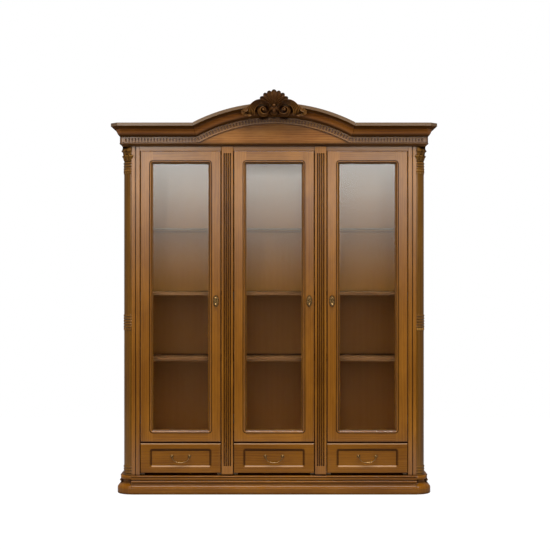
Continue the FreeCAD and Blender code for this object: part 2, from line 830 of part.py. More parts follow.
def mitre(body, name):
    """Cuts the middle off a straight moulding, up to the knee line."""
    high = "Places.crown_head + Sizes.overrun"
    low = "Places.frieze_foot - Sizes.overrun"
    sketch = outline(body, name, "XZ_Plane", [
        ("-Sizes.overrun", low),
        (knee_x("Places.crown_head - Places.frieze_foot + Sizes.overrun"), low),
        (knee_x("-Sizes.overrun"), high),
        ("-Sizes.overrun", high),
    ], lift="-Places.front")
    pocket(body, sketch, middle=True)


def arch_ring(name, rows):
    """A moulding turned about the arch centre, mitred at both knees."""
    body = new_body(name)
    bind_place(body, z="Places.arch_centre")
    section = outline(body, name + "_section", "YZ_Plane", reach_points([
        (row[0], f"{row[1]} + Sizes.arch_rise - Places.arch_centre") + tuple(row[2:])
        for row in rows
    ]))
    half_angle = "asin(Sizes.arch_half_span / Places.arch_radius)"
    revolve(body, section, f"2 * Sizes.arch_spare_share * {half_angle}", axis="H_Axis", middle=True)
    return body


def knee_cutters(name):
    """Two blocks outside the knee lines."""
    body = new_body(name)
    high = "Places.crown_head + Sizes.arch_rise"
    low = "Places.frieze_foot - Sizes.arch_rise"
    drop = "Places.crown_head - Places.frieze_foot + Sizes.arch_rise"
    sketch = outline(body, name + "_plan", "XZ_Plane", [
        (knee_x(drop), low), ("Places.side", low), ("Places.side", high),
        (knee_x("-Sizes.arch_rise"), high),
    ], lift="-Places.front")
    pad(body, sketch, "2 * Sizes.crest_reach", middle=True)
    return [body, mirrored(name + "_mirror", body)]


dentil_rows = [
    ("Sizes.frieze_reach", "Places.frieze_foot"),
    ("Sizes.frieze_reach", "Places.crown_foot"),
    ("Sizes.dentil_reach", "Places.crown_foot"),
    ("Sizes.dentil_reach", "Places.frieze_foot"),
]
crown_rows = [
    ("Sizes.frieze_reach", "Places.crown_foot"),
    ("Sizes.frieze_reach", "Places.crown_head"),
    ("Sizes.fascia_reach", "Places.crown_head"),
    ("Sizes.fascia_reach", "Places.crown_head - Sizes.fascia_height"),
    ("Sizes.cove_top_reach", "Places.crown_head - Sizes.fascia_height",
     "-Sizes.cyma_bow_share"),
    ("Sizes.ovolo_reach + Sizes.crown_step",
     "Places.crown_foot + Sizes.ovolo_height + Sizes.crown_step"),
    ("Sizes.ovolo_reach", "Places.crown_foot + Sizes.ovolo_height + Sizes.crown_step",
     "Sizes.ovolo_bow_share"),
    ("Sizes.crown_toe", "Places.crown_foot"),
]


def slot_cutters(name, count, spot):
    """Rounded dentil slots; spot gives each one's centre and its turn about the Y axis."""
    half = number("Sizes.slot_height") / 2 - number("Sizes.slot_width") / 2
    width = number("Sizes.slot_width")
    depth = number("Sizes.dentil_reach")
    slots = []
    for index in range(count):
        centre, turn, facing = spot(index)
        slot = Part.makeBox(width, depth, 2 * half, V(-width / 2, -depth / 2, -half))
        for end in (-half, half):
            cap = Part.makeCylinder(width / 2, depth, V(0, -depth / 2, end), V(0, 1, 0))
            slot = slot.fuse(cap)
        slot = slot.removeSplitter()
        slot.Placement = FreeCAD.Placement(
            centre, FreeCAD.Rotation(V(0, 0, 1), facing) * FreeCAD.Rotation(V(0, 1, 0), turn))
        slots.append(slot)
    cutters = doc.addObject("Part::Feature", name)
    cutters.Shape = Part.makeCompound(slots)
    return cutters


pitch = number("Sizes.slot_pitch")
slot_y = number("Places.front - (Sizes.frieze_reach + Sizes.dentil_reach) / 2")
slot_z = number("(Places.frieze_foot + Places.crown_foot) / 2")
slot_arc = number("Places.arch_radius - Places.crown_head") + slot_z
knee = number(knee_x("Places.crown_head - (Places.frieze_foot + Places.crown_foot) / 2"))
corner_run = number("Places.side - Sizes.corner_cut")
arc_slots = 2 * int((math.asin(knee / slot_arc) * slot_arc - pitch / 2) / pitch) + 1
front_slots = int((corner_run - knee) / pitch)
side_slots = int(number("Places.back - Places.front") / pitch) - 1


def arc_spot(index):
    angle = (index - (arc_slots - 1) / 2) * pitch / slot_arc
    height = number("Places.arch_centre") + slot_arc * math.cos(angle)
    return V(slot_arc * math.sin(angle), slot_y, height), math.degrees(angle), 0


def front_spot(index):
    return V(knee + (index + 0.5) * pitch, slot_y, slot_z), 0, 0


def side_spot(index):
    reach = number("Places.side + (Sizes.frieze_reach + Sizes.dentil_reach) / 2")
    return V(reach, number("Places.front") + (index + 0.5) * pitch, slot_z), 0, 90


dentil_run = new_body("dentil_run")
dentil_section = outline(dentil_run, "dentil_section", "YZ_Plane", reach_points(dentil_rows))
sweep(dentil_run, dentil_section, corner_path(dentil_run, "dentil_path", "Sizes.frieze_reach"))
mitre(dentil_run, "dentil_mitre")
dentil_right = cut("dentil_right", dentil_run, [
    slot_cutters("front_slots", front_slots, front_spot),
    slot_cutters("side_slots", side_slots, side_spot),
])
dentil_arch = cut("dentil_arch", arch_ring("dentil_ring", dentil_rows),
                  knee_cutters("dentil_knees") + [slot_cutters("arc_slots", arc_slots, arc_spot)])
keep(group("dentil_band", [dentil_arch, dentil_right, mirrored("dentil_left", dentil_right)]))

crown_run = new_body("crown_right")
crown_section = outline(crown_run, "crown_section", "YZ_Plane", reach_points(crown_rows))
sweep(crown_run, crown_section, corner_path(crown_run, "crown_path", "Sizes.frieze_reach"))
mitre(crown_run, "crown_mitre")
crown_arch = cut("crown_arch", arch_ring("crown_ring", crown_rows), knee_cutters("crown_knees"))
keep(group("crown_moulding", [crown_arch, crown_run, mirrored("crown_left", crown_run)]))

# Pediment board: the flat board behind the mouldings, arched on top, whose middle shows
pediment = new_body("pediment_board")
knee_board = knee_x("Sizes.frieze_drop")
board_end = "Places.side + Sizes.frieze_reach - Places.cut_run"
pediment_plan = outline(pediment, "pediment_plan", "XZ_Plane", [
    (f"-({board_end})", "Places.frieze_foot"),
    (board_end, "Places.frieze_foot"),
    (board_end, "Places.frieze_head"),
    (knee_board, "Places.frieze_head", f"Sizes.arch_rise / (2 * {knee_board})"),
    (f"-{knee_board}", "Places.frieze_head"),
    (f"-({board_end})", "Places.frieze_head"),
], lift="-Places.front - Sizes.frieze_reach")
pad(pediment, pediment_plan, "Sizes.frieze_thick")
keep(pediment)

# Cornice sides: boards behind the side mouldings, bevelled at the front corner
cornice_side = new_body("cornice_side_right")
bind_place(cornice_side, z="Places.frieze_foot")
side_face = "Places.side + Sizes.frieze_reach"
board_back = "Places.front - Sizes.frieze_reach + Sizes.frieze_thick"
side_plan = outline(cornice_side, "cornice_side_plan", "XY_Plane", [
    (board_end, "Places.front - Sizes.frieze_reach"),
    (side_face, "Places.front - Sizes.frieze_reach + Places.cut_run"),
    (side_face, "Places.back"),
    (f"{side_face} - Sizes.frieze_thick", "Places.back"),
    (f"{side_face} - Sizes.frieze_thick", board_back),
    (board_end, board_back),
])
pad(cornice_side, side_plan, "Places.frieze_head - Places.frieze_foot")
cornice_back = board("cornice_back", ("-Places.wall_out", "Places.back - Sizes.back_thick",
                                      "Places.frieze_foot"),
                     ("Places.wall_out", "Places.back",
                      "Places.frieze_head - Sizes.dust_board_thick"))
keep(group("cornice_boards", [cornice_side, mirrored("cornice_side_left", cornice_side),
                              cornice_back]))

# Dust board: closes the cornice from above
keep(board("dust_board",
           (f"-({side_face} - Sizes.frieze_thick)", board_back,
            "Places.frieze_head - Sizes.dust_board_thick"),
           (f"{side_face} - Sizes.frieze_thick", "Places.back", "Places.frieze_head")))


# Crest: a carved shell between two volutes, cut on the back to fit the arched crown
def taper(name, start_radius, end_radius, length, x, y, z, lean):
    """A round taper that leans from upright towards +X."""
    solid = doc.addObject("Part::Cone", name)
    solid.Placement.Rotation = FreeCAD.Rotation(V(0, 1, 0), 1)
    solid.setExpression("Radius1", start_radius)
    solid.setExpression("Radius2", end_radius)
    solid.setExpression("Height", length)
    solid.setExpression("Placement.Rotation.Angle", lean)
    return bind_place(solid, x, y, z)


crest_y = "Places.front - Sizes.crest_reach + Sizes.crest_tube"
shell_z = "Places.arch_centre + Sizes.shell_root"
volute_z = "Places.arch_centre + Sizes.volute_root"
crest_parts = []
lobe_count = int(number("Sizes.shell_lobes"))
for index in range(lobe_count):
    lean = f"({index} - (Sizes.shell_lobes - 1) / 2) * Sizes.shell_lobe_angle"
    crest_parts.append(taper(f"lobe_{index}", "Sizes.shell_root_radius", "Sizes.shell_neck_radius",
                             "Sizes.shell_length", "0", crest_y, shell_z, lean))
    crest_parts.append(ball(f"lobe_tip_{index}", "Sizes.crest_tube",
                            f"Sizes.shell_length * sin({lean})", crest_y,
                            f"{shell_z} + Sizes.shell_length * cos({lean})"))
crest_parts.append(ball("shell_button", "Sizes.shell_button", "0", crest_y, shell_z))
for side, sign in SIDES.items():
    volute_x = f"{sign} * Sizes.volute_offset"
    ring = doc.addObject("Part::Torus", f"volute_{side}")
    ring.Placement.Rotation = FreeCAD.Rotation(V(1, 0, 0), 90)
    ring.setExpression("Radius1", "Sizes.volute_radius")
    ring.setExpression("Radius2", "Sizes.volute_tube")
    crest_parts.append(bind_place(ring, volute_x, crest_y, volute_z))
    crest_parts.append(ball(f"volute_eye_{side}", "Sizes.volute_eye", volute_x, crest_y, volute_z))
    crest_parts.append(rod(f"volute_block_{side}", "y", "Sizes.volute_radius",
                           f"Places.front - Sizes.dentil_reach - ({crest_y})",
                           volute_x, crest_y, volute_z))
    crest_parts.append(taper(f"scroll_{side}", "Sizes.scroll_fat", "Sizes.scroll_thin",
                             "Sizes.scroll_length", f"{sign} * Sizes.scroll_offset", crest_y,
                             "Places.arch_centre + Sizes.scroll_root",
                             f"{sign} * Sizes.scroll_angle"))
    crest_parts.append(taper(f"leaf_{side}_tip", "Sizes.leaf_fat", "Sizes.leaf_thin",
                             "Sizes.leaf_length", f"{sign} * Sizes.leaf_offset", crest_y,
                             "Places.arch_centre + Sizes.leaf_root",
                             f"{sign} * Sizes.leaf_angle"))
crest_parts.append(taper("pendant", "Sizes.pendant_radius", "Sizes.shell_root_radius",
                         "Sizes.pendant_length", "0", crest_y,
                         f"{shell_z} - Sizes.pendant_length", "0"))
keep(cut("crest_carving", fuse("crest_solids", crest_parts), [crown_arch]))

# Shelves: one of glass over two of wood in each bay, on four pins each
BAYS = {
    "left": ("-Places.wall_in", "-Places.partition_out"),
    "centre": ("-Places.partition_in", "Places.partition_in"),
    "right": ("Places.partition_out", "Places.wall_in"),
}
shelf_back = "Places.inner_back - Sizes.shelf_back_gap"
shelf_front = "Places.front + Sizes.shelf_setback"
glass_shelves, wood_shelves, pins = [], [], []
for bay, (low_x, high_x) in BAYS.items():
    for level in ("glass", "upper", "lower"):
        top = f"(Places.door_foot + Sizes.{level}_shelf_share * Sizes.door_height)"
        thick = "Sizes.glass_shelf_thick" if level == "glass" else "Sizes.shelf_thick"
        shelf = board(f"{level}_shelf_{bay}",
                      (f"{low_x} + Sizes.shelf_side_gap", shelf_front, f"{top} - {thick}"),
                      (f"{high_x} - Sizes.shelf_side_gap", shelf_back, top))
        (glass_shelves if level == "glass" else wood_shelves).append(shelf)
        for end, x in enumerate((low_x, f"{high_x} - Sizes.pin_length")):
            for row, y in enumerate((f"{shelf_front} + Sizes.pin_inset",
                                     f"{shelf_back} - Sizes.pin_inset")):
                pins.append(rod(f"pin_{bay}_{level}_{end}_{row}", "x", "Sizes.pin_radius",
                                "Sizes.pin_length", x, y,
                                f"{top} - {thick} - Sizes.pin_radius - Sizes.pin_drop"))
keep(group("glass_shelves", glass_shelves))
keep(group("wood_shelves", wood_shelves))
keep(group("shelf_pins", pins))

# Doors: two stiles and two rails moulded on the inner edge, a pane and its beads, hinge cups.
# The left and middle doors hang on their left edge, the right door on its right edge.
DOORS = {"left": ("-Places.outer_bay", -1), "centre": ("0", -1), "right": ("Places.outer_bay", 1)}


def rectangle(half_width, low, high):
    return [(f"-({half_width})", low), (half_width, low), (half_width, high),
            (f"-({half_width})", high)]


def round_front(body, feature, radius, thickness):
    """Rounds the four outer edges of a front's face."""
    face_y = -number(thickness)
    edges = [f"Edge{index}" for index, edge in enumerate(feature.Shape.Edges, start=1)
             if all(abs(vertex.Point.y - face_y) < abs(face_y) / 2 for vertex in edge.Vertexes)]
    fillet = body.newObject("PartDesign::Fillet", feature.Name + "_round")
    fillet.Base = (feature, edges)
    fillet.setExpression("Radius", radius)
    doc.recompute()
    return fillet


def front_blank(name, x, z, height):
    """A rounded front board whose back lies in the body's XZ plane."""
    body = new_body(name)
    bind_place(body, x, "Places.door_back", z)
    blank = outline(body, name + "_plan", "XZ_Plane",
                    rectangle("Sizes.door_width / 2", "0", height))
    feature = pad(body, blank, "Sizes.door_thick")
    round_front(body, feature, "Sizes.door_round", "Sizes.door_thick")
    return body


def inner_moulding(body, name, half_width, low, high, rows):
    """
    Runs a moulding round the inner edge of a front; the outer line has rounded corners. Rows are
    depth behind the face, distance out from the inner line, and the bow to the next point.
    """
    points = [("-Sizes.door_thick - Sizes.overrun", f"({low}) - ({rows[0][1]})")]
    points += [(f"-Sizes.door_thick + {row[0]}", f"({low}) - ({row[1]})") + tuple(row[2:])
               for row in rows]
    points.append(("-Sizes.door_thick - Sizes.overrun", low))
    section = outline(body, name + "_section", "YZ_Plane", points)
    path = outline(body, name + "_path", "XZ_Plane", rectangle(half_width, low, high))
    sweep(body, section, path, cutting=True, corner="Round corner")


def hinge_heights():
    """Heights of the hinges above a door's foot."""
    count = int(number("Sizes.hinges_per_door"))
    span = "(Sizes.door_height - 2 * Sizes.hinge_end) / (Sizes.hinges_per_door - 1)"
    return [f"Sizes.hinge_end + {index} * {span}" for index in range(count)]


hinge_plates = []
open_half = "Places.opening_width / 2"
for name, (bay, hinge_side) in DOORS.items():
    door = f"door_{name}"
    body = front_blank(door + "_blank", bay, "Places.door_foot", "Sizes.door_height")
    inner_moulding(body, door + "_mould", open_half, "Places.opening_foot", "Places.opening_head", [
        ("Sizes.mould_step", "Sizes.mould_width"),
        ("Sizes.mould_step", "Sizes.mould_width - Sizes.mould_quirk", "-Sizes.mould_bow_share"),
        ("Sizes.mould_step", "Sizes.mould_width - Sizes.mould_quirk - Sizes.mould_bead",
         "Sizes.cove_bow_share"),
        ("Sizes.mould_depth", "Sizes.mould_flat"),
        ("Sizes.mould_depth", "0"),
    ])
    opening = outline(body, door + "_opening", "XZ_Plane",
                      rectangle(open_half, "Places.opening_foot", "Places.opening_head"))
    pocket(body, opening, middle=True)
    rebate = outline(body, door + "_rebate", "XZ_Plane",
                     rectangle(f"{open_half} + Sizes.rebate_width",
                               "Places.opening_foot - Sizes.rebate_width",
                               "Places.opening_head + Sizes.rebate_width"))
    pocket(body, rebate, "Sizes.rebate_depth", reverse=True)

    # Hinge cups in bored seats, plates and arms on the post behind the door
    cup_x = f"{bay} + {hinge_side} * (Sizes.door_width / 2 - Sizes.cup_edge)"
    cup_floor = "Places.door_back - Sizes.cup_depth"
    bores, cups = [], []
    for index, rise in enumerate(hinge_heights()):
        z = f"Places.door_foot + {rise}"
        bores.append(rod(f"{door}_bore_{index}", "y", "Sizes.cup_radius + Sizes.cup_gap",
                         "Sizes.cup_depth + Sizes.overrun", cup_x, cup_floor, z))
        cups.append(rod(f"{door}_cup_{index}", "y", "Sizes.cup_radius", "Sizes.cup_depth",
                        cup_x, cup_floor, z))
        edge = {"left": "-Places.stile_in", "centre": "-Places.pilaster_in",
                "right": "Places.stile_in"}[name]
        inner = f"({edge}) - ({hinge_side}) * Sizes.plate_thick"
        plate_x = (inner, edge) if hinge_side > 0 else (edge, inner)
        arm_end = f"{cup_x} - ({hinge_side}) * Sizes.arm_height / 2"
        arm_x = (arm_end, inner) if hinge_side > 0 else (inner, arm_end)
        arm_y = "Places.door_back + Sizes.arm_gap"
        hinge_plates.append(fuse(f"hinge_{name}_{index}", [
            board(f"plate_{name}_{index}", (plate_x[0], arm_y, f"{z} - Sizes.plate_height / 2"),
                  (plate_x[1], "Places.posts_back - Sizes.plate_end_gap",
                   f"{z} + Sizes.plate_height / 2")),
            board(f"arm_{name}_{index}", (arm_x[0], arm_y, f"{z} - Sizes.arm_height / 2"),
                  (arm_x[1], f"{arm_y} + Sizes.arm_thick", f"{z} + Sizes.arm_height / 2")),
        ]))
    bored = cut(door + "_bored", body, bores)

    # Stiles run the full height, rails fit between them at the line of the opening
    half = "Sizes.door_width / 2 + Sizes.overrun"
    middle_z = "Places.door_foot + Sizes.door_height / 2"
    zones = {
        "stile_a": (f"{bay} - ({half})", f"{bay} - {open_half}",
                    "Places.door_foot - Sizes.overrun", "Places.door_head + Sizes.overrun"),
        "stile_b": (f"{bay} + {open_half}", f"{bay} + {half}",
                    "Places.door_foot - Sizes.overrun", "Places.door_head + Sizes.overrun"),
        "rail_a": (f"{bay} - {open_half}", f"{bay} + {open_half}",
                   "Places.door_foot - Sizes.overrun", middle_z),
        "rail_b": (f"{bay} - {open_half}", f"{bay} + {open_half}",
                   middle_z, "Places.door_head + Sizes.overrun"),
    }
    members = []
    for member, (low_x, high_x, low_z, high_z) in zones.items():
        zone = board(f"{door}_{member}_zone", (low_x, "Places.door_face - Sizes.overrun", low_z),
                     (high_x, "Places.door_back + Sizes.overrun", high_z))
        members.append(common(f"{door}_{member}", bored, zone))

    # Pane in the rebate, held by four beads
    pane_y = "Places.door_back - Sizes.rebate_depth"
    bead_y = f"{pane_y} + Sizes.pane_thick"
    pane_half = f"{open_half} + Sizes.rebate_width - Sizes.pane_gap"
    pane_low = "Places.door_foot + Places.opening_foot - Sizes.rebate_width + Sizes.pane_gap"
    pane_high = "Places.door_foot + Places.opening_head + Sizes.rebate_width - Sizes.pane_gap"
    pane = board(door + "_glass", (f"{bay} - ({pane_half})", pane_y, pane_low),
                 (f"{bay} + {pane_half}", bead_y, pane_high))
    bead_low = f"{pane_low} - Sizes.pane_gap"
    bead_high = f"{pane_high} + Sizes.pane_gap"
    bead_end = f"{bead_y} + Sizes.bead_thick"
    for index, (low_x, high_x, low_z, high_z) in enumerate((
        (f"-({open_half} + Sizes.rebate_width)", f"-{open_half}", bead_low, bead_high),
        (open_half, f"{open_half} + Sizes.rebate_width", bead_low, bead_high),
        (f"-{open_half}", open_half, bead_low, f"{bead_low} + Sizes.rebate_width"),
        (f"-{open_half}", open_half, f"{bead_high} - Sizes.rebate_width", bead_high),
    )):
        members.append(board(f"{door}_bead_{index}", (f"{bay} + ({low_x})", bead_y, low_z),
                             (f"{bay} + ({high_x})", bead_end, high_z)))
    keep(group(door + "_frame", members))
    keep(pane)
    keep(group(door + "_hinge_cups", cups))

    # Drop pull: a plate with a boss and two ears, and a drop that hangs from their pin
    pull_x = f"{bay} - ({hinge_side}) * (Sizes.door_width / 2 - Sizes.pull_edge)"
    pivot_y = "Places.door_face - Sizes.ear_reach"
    pivot_z = "Places.pull_centre + Sizes.pull_pivot_lift"
    plate = new_body(door + "_escutcheon")
    bind_place(plate, pull_x, "Places.door_face", "Places.pull_centre")
    plate_plan = outline(plate, door + "_escutcheon_plan", "XZ_Plane", [
        ("0", "-Sizes.pull_plate_height / 2", "Sizes.plate_bow_share"),
        ("Sizes.pull_plate_width / 2", "0", "Sizes.plate_bow_share"),
        ("0", "Sizes.pull_plate_height / 2", "Sizes.plate_bow_share"),
        ("-Sizes.pull_plate_width / 2", "0", "Sizes.plate_bow_share"),
    ])
    pad(plate, plate_plan, "Sizes.pull_plate_thick")
    boss_y = "Places.door_face - Sizes.pull_plate_thick - Sizes.pull_boss_thick"
    ear_in = "Sizes.drop_barrel_width / 2 + Sizes.drop_barrel_gap"
    pull_parts = [
        plate,
        rod(door + "_boss", "y", "Sizes.pull_boss_radius", "Sizes.pull_boss_thick",
            pull_x, boss_y, pivot_z),
        rod(door + "_pin", "x", "Sizes.drop_pin_radius", f"2 * ({ear_in})",
            f"{pull_x} - ({ear_in})", pivot_y, pivot_z),
    ]
    for end, low_x in enumerate((f"{pull_x} - ({ear_in}) - Sizes.ear_width",
                                 f"{pull_x} + {ear_in}")):
        pull_parts.append(rod(f"{door}_ear_{end}", "x", "Sizes.ear_radius", "Sizes.ear_width",
                              low_x, pivot_y, pivot_z))
        pull_parts.append(board(f"{door}_ear_root_{end}",
                                (low_x, pivot_y, f"{pivot_z} - Sizes.ear_radius"),
                                (f"{low_x} + Sizes.ear_width", boss_y,
                                 f"{pivot_z} + Sizes.ear_radius")))
    keep(fuse(door + "_pull_plate", pull_parts))

    drop = new_body(door + "_teardrop")
    bind_place(drop, pull_x, pivot_y, pivot_z)
    drop_section = outline(drop, door + "_teardrop_section", "XZ_Plane", [
        ("0", "-Sizes.drop_length"),
        ("Sizes.drop_radius / 2", "-Sizes.drop_length", "Sizes.quarter_bow_share"),
        ("Sizes.drop_radius", "-Sizes.drop_length + Sizes.drop_radius",
         "-Sizes.cyma_bow_share"),
        ("Sizes.drop_neck", "-Sizes.drop_length / 4"),
        ("Sizes.drop_neck", "-Sizes.drop_pin_radius"),
        ("0", "-Sizes.drop_pin_radius"),
    ])
    revolve(drop, drop_section, "360")
    barrel_x = f"{pull_x} - Sizes.drop_barrel_width / 2"
    solid = fuse(door + "_drop_solid", [
        drop,
        rod(door + "_barrel", "x", "Sizes.drop_barrel_radius", "Sizes.drop_barrel_width",
            barrel_x, pivot_y, pivot_z),
    ])
    keep(cut(door + "_drop", solid, [
        rod(door + "_barrel_bore", "x", "Sizes.drop_pin_radius + Sizes.pivot_gap",
            "Sizes.drop_barrel_width", barrel_x, pivot_y, pivot_z)]))
keep(group("hinge_plates", hinge_plates))

# Drawers: a moulded front with a sunk panel, a box behind it, and a bail pull
runners = []
for name, (bay, hinge_side) in DOORS.items():
    drawer = f"drawer_{name}"
    front_body = front_blank(drawer + "_front", bay, "Places.drawer_foot", "Sizes.drawer_height")
    sunk_half = "Places.sunk_width / 2"
    inner_moulding(front_body, drawer + "_mould", sunk_half, "Places.sunk_foot",
                   "Places.sunk_head", [
                       ("Sizes.sunk_step", "Sizes.sunk_mould", "-Sizes.ovolo_bow_share"),
                       ("Sizes.sunk_depth", "Sizes.sunk_flat"),
                       ("Sizes.sunk_depth", "0"),
                   ])
    sunk = outline(front_body, drawer + "_sunk", "XZ_Plane",
                   rectangle(sunk_half, "Places.sunk_foot", "Places.sunk_head"),
                   lift="Sizes.door_thick")
    pocket(front_body, sunk, "Sizes.sunk_depth")
    keep(front_body)

    box_end = "Places.door_back + Sizes.drawer_box_length"
    box_head = "Places.box_foot + Sizes.drawer_box_height"
    inner_half = "Places.drawer_box_half - Sizes.drawer_side_thick"
    bottom_foot = "Places.box_foot + Sizes.drawer_bottom_lift"
    inner_end = f"{box_end} - Sizes.drawer_side_thick"
    box_parts = [
        board(drawer + "_back", (f"{bay} - ({inner_half})", inner_end, "Places.box_foot"),
              (f"{bay} + {inner_half}", box_end, box_head)),
        board(drawer + "_bottom", (f"{bay} - ({inner_half})", "Places.door_back", bottom_foot),
              (f"{bay} + {inner_half}", inner_end, f"{bottom_foot} + Sizes.drawer_bottom_thick")),
    ]
    for side, sign in SIDES.items():
        low_x, high_x = across(sign, inner_half, "Places.drawer_box_half")
        box_parts.append(board(f"{drawer}_side_{side}",
                               (f"{bay} + ({low_x})", "Places.door_back", "Places.box_foot"),
                               (f"{bay} + ({high_x})", box_end, box_head)))
        guide_in = "Places.drawer_box_half + Sizes.runner_guide_gap"
        guide_out = f"{guide_in} + Sizes.runner_guide_thick"
        base_x = across(sign, inner_half, guide_out)
        guide_x = across(sign, guide_in, guide_out)
        runner_top = "Sizes.base_height + Sizes.runner_height"
        runners.append(fuse(f"runner_{name}_{side}", [
            board(f"runner_base_{name}_{side}",
                  (f"{bay} + ({base_x[0]})", "Places.front + Sizes.deck_setback",
                   "Sizes.base_height"),
                  (f"{bay} + ({base_x[1]})", "Places.inner_back", runner_top)),
            board(f"runner_guide_{name}_{side}",
                  (f"{bay} + ({guide_x[0]})", "Places.front + Sizes.deck_setback", runner_top),
                  (f"{bay} + ({guide_x[1]})", "Places.inner_back",
                   f"{runner_top} + Sizes.runner_guide_height")),
        ]))
    keep(group(drawer + "_box", box_parts))

    # Bail pull: two roses with posts, and a bail that hangs from pivots in their knobs
    panel_y = "Places.door_face + Sizes.sunk_depth"
    pivot_y = f"{panel_y} - Sizes.post_reach"
    pivot_z = "Places.drawer_foot + Sizes.bail_height"
    posts, bores = [], []
    for side, sign in SIDES.items():
        post_x = f"{bay} + ({sign}) * Sizes.bail_centres / 2"
        posts.append(rod(f"{drawer}_rose_{side}", "y", "Sizes.rose_radius", "Sizes.rose_thick",
                         post_x, f"{panel_y} - Sizes.rose_thick", pivot_z))
        posts.append(rod(f"{drawer}_stem_{side}", "y", "Sizes.post_radius", "Sizes.post_reach",
                         post_x, pivot_y, pivot_z))
        posts.append(ball(f"{drawer}_knob_{side}", "Sizes.knob_radius", post_x, pivot_y, pivot_z))
        bore_x = post_x if sign < 0 else f"{post_x} - Sizes.knob_radius"
        bores.append(rod(f"{drawer}_bore_{side}", "x", "Sizes.pivot_radius + Sizes.pivot_gap",
                         "Sizes.knob_radius", bore_x, pivot_y, pivot_z))
    keep(cut(drawer + "_bail_posts", fuse(drawer + "_posts", posts), bores))

    bow = new_body(drawer + "_bow")
    bind_place(bow, bay, pivot_y, f"{pivot_z} + Places.bail_radius - Sizes.bail_drop")
    bow_section = outline(bow, drawer + "_bow_section", "YZ_Plane", [
        ("-Sizes.bail_rod", "-Places.bail_radius", "Sizes.round_bow_share"),
        ("Sizes.bail_rod", "-Places.bail_radius", "Sizes.round_bow_share"),
    ])
    revolve(bow, bow_section, "2 * asin(Places.bail_half / Places.bail_radius)", axis="H_Axis",
            middle=True)
    bail_parts = [bow]
    for side, sign in SIDES.items():
        pin_x = across(sign, "Places.bail_half", "Sizes.bail_centres / 2 - Sizes.pivot_end_gap")
        bail_parts.append(rod(f"{drawer}_pivot_{side}", "x", "Sizes.pivot_radius",
                              f"({pin_x[1]}) - ({pin_x[0]})", f"{bay} + ({pin_x[0]})",
                              pivot_y, pivot_z))
    keep(fuse(drawer + "_bail", bail_parts))
keep(group("drawer_runners", runners))

# Checks, then one file for each piece
doc.recompute()
for item in doc.Objects:
    assert not {"Invalid", "Error"} & set(item.State), item.Name + " did not build"
for piece in kept:
    assert not piece.Shape.isNull() and piece.Shape.isValid(), piece.Label + " is not sound"
    assert piece.Shape.Solids, piece.Label + " holds no solid"
for piece in kept:
    piece.Shape.exportStep(f"parts/{piece.Label}.step")
print(len(kept), "pieces written")
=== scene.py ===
import json
import math

import bmesh
import bpy
from mathutils import Matrix, Vector
from mathutils.geometry import interpolate_bezier


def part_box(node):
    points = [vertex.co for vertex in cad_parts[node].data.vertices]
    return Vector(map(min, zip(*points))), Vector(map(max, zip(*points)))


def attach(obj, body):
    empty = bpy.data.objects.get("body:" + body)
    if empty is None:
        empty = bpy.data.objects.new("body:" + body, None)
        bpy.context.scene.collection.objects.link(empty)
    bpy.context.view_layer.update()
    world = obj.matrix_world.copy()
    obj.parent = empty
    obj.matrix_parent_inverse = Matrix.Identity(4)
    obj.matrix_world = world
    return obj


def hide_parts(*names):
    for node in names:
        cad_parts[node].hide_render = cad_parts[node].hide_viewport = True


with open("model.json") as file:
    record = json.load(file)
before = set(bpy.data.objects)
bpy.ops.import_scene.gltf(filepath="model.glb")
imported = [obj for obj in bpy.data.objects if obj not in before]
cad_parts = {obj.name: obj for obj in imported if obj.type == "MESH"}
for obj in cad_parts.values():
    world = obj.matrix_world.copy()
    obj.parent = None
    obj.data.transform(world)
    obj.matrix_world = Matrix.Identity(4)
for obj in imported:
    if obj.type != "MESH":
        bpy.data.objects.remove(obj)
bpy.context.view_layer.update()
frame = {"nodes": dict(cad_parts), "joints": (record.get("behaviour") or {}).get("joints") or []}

parts = frame["nodes"]


# Studio: a white floor and surround, a tall graded light card behind the camera, which the panes
# and the lacquer reflect in the upper half of the cabinet, and one large soft lamp overhead.
def add(tree, kind, settings=None, inputs=None):
    """A node with its settings, and its inputs as plain values or as links."""
    made = tree.nodes.new(kind)
    for key, value in (settings or {}).items():
        setattr(made, key, value)
    for key, value in (inputs or {}).items():
        if isinstance(value, bpy.types.NodeSocket):
            tree.links.new(value, made.inputs[key])
        else:
            made.inputs[key].default_value = value
    return made


def between(tree, value, low, high, to_low=0.0, to_high=1.0):
    """The value's place between two levels, from one share to another."""
    return add(tree, "ShaderNodeMapRange", None, {
        "Value": value, "From Min": low, "From Max": high,
        "To Min": to_low, "To Max": to_high}).outputs[0]


def sum_of(tree, first, second, operation="ADD"):
    return add(tree, "ShaderNodeMath", {"operation": operation}, {0: first, 1: second}).outputs[0]


def shows_plainly(tree):
    """
    1 for camera rays and rays through glass, which meet the plain white surround, a small share
    for reflections in lacquer, brass and glass, and 0 for the rays that light the cabinet.
    """
    path = add(tree, "ShaderNodeLightPath").outputs
    seen = sum_of(tree, path["Is Camera Ray"], path["Is Transmission Ray"], "MAXIMUM")
    mirrored = sum_of(tree, path["Is Glossy Ray"], GLOSSY_SHARE, "MULTIPLY")
    return sum_of(tree, seen, mirrored, "MAXIMUM")


def new_finish(name):
    """A material and its shader tree, still empty."""
    finish = bpy.data.materials.new(name)
    finish.use_nodes = True
    finish.node_tree.nodes.clear()
    return finish, finish.node_tree


def to_surface(tree, shader):
    add(tree, "ShaderNodeOutputMaterial", None, {"Surface": shader.outputs[0]})


def mesh_piece(name, bm, finish):
    """The object for a finished bmesh, at the origin."""
    mesh = bpy.data.meshes.new(name)
    bm.to_mesh(mesh)
    bm.free()
    mesh.shade_smooth()
    mesh.materials.append(finish)
    piece = bpy.data.objects.new(name, mesh)
    bpy.context.scene.collection.objects.link(piece)
    return piece


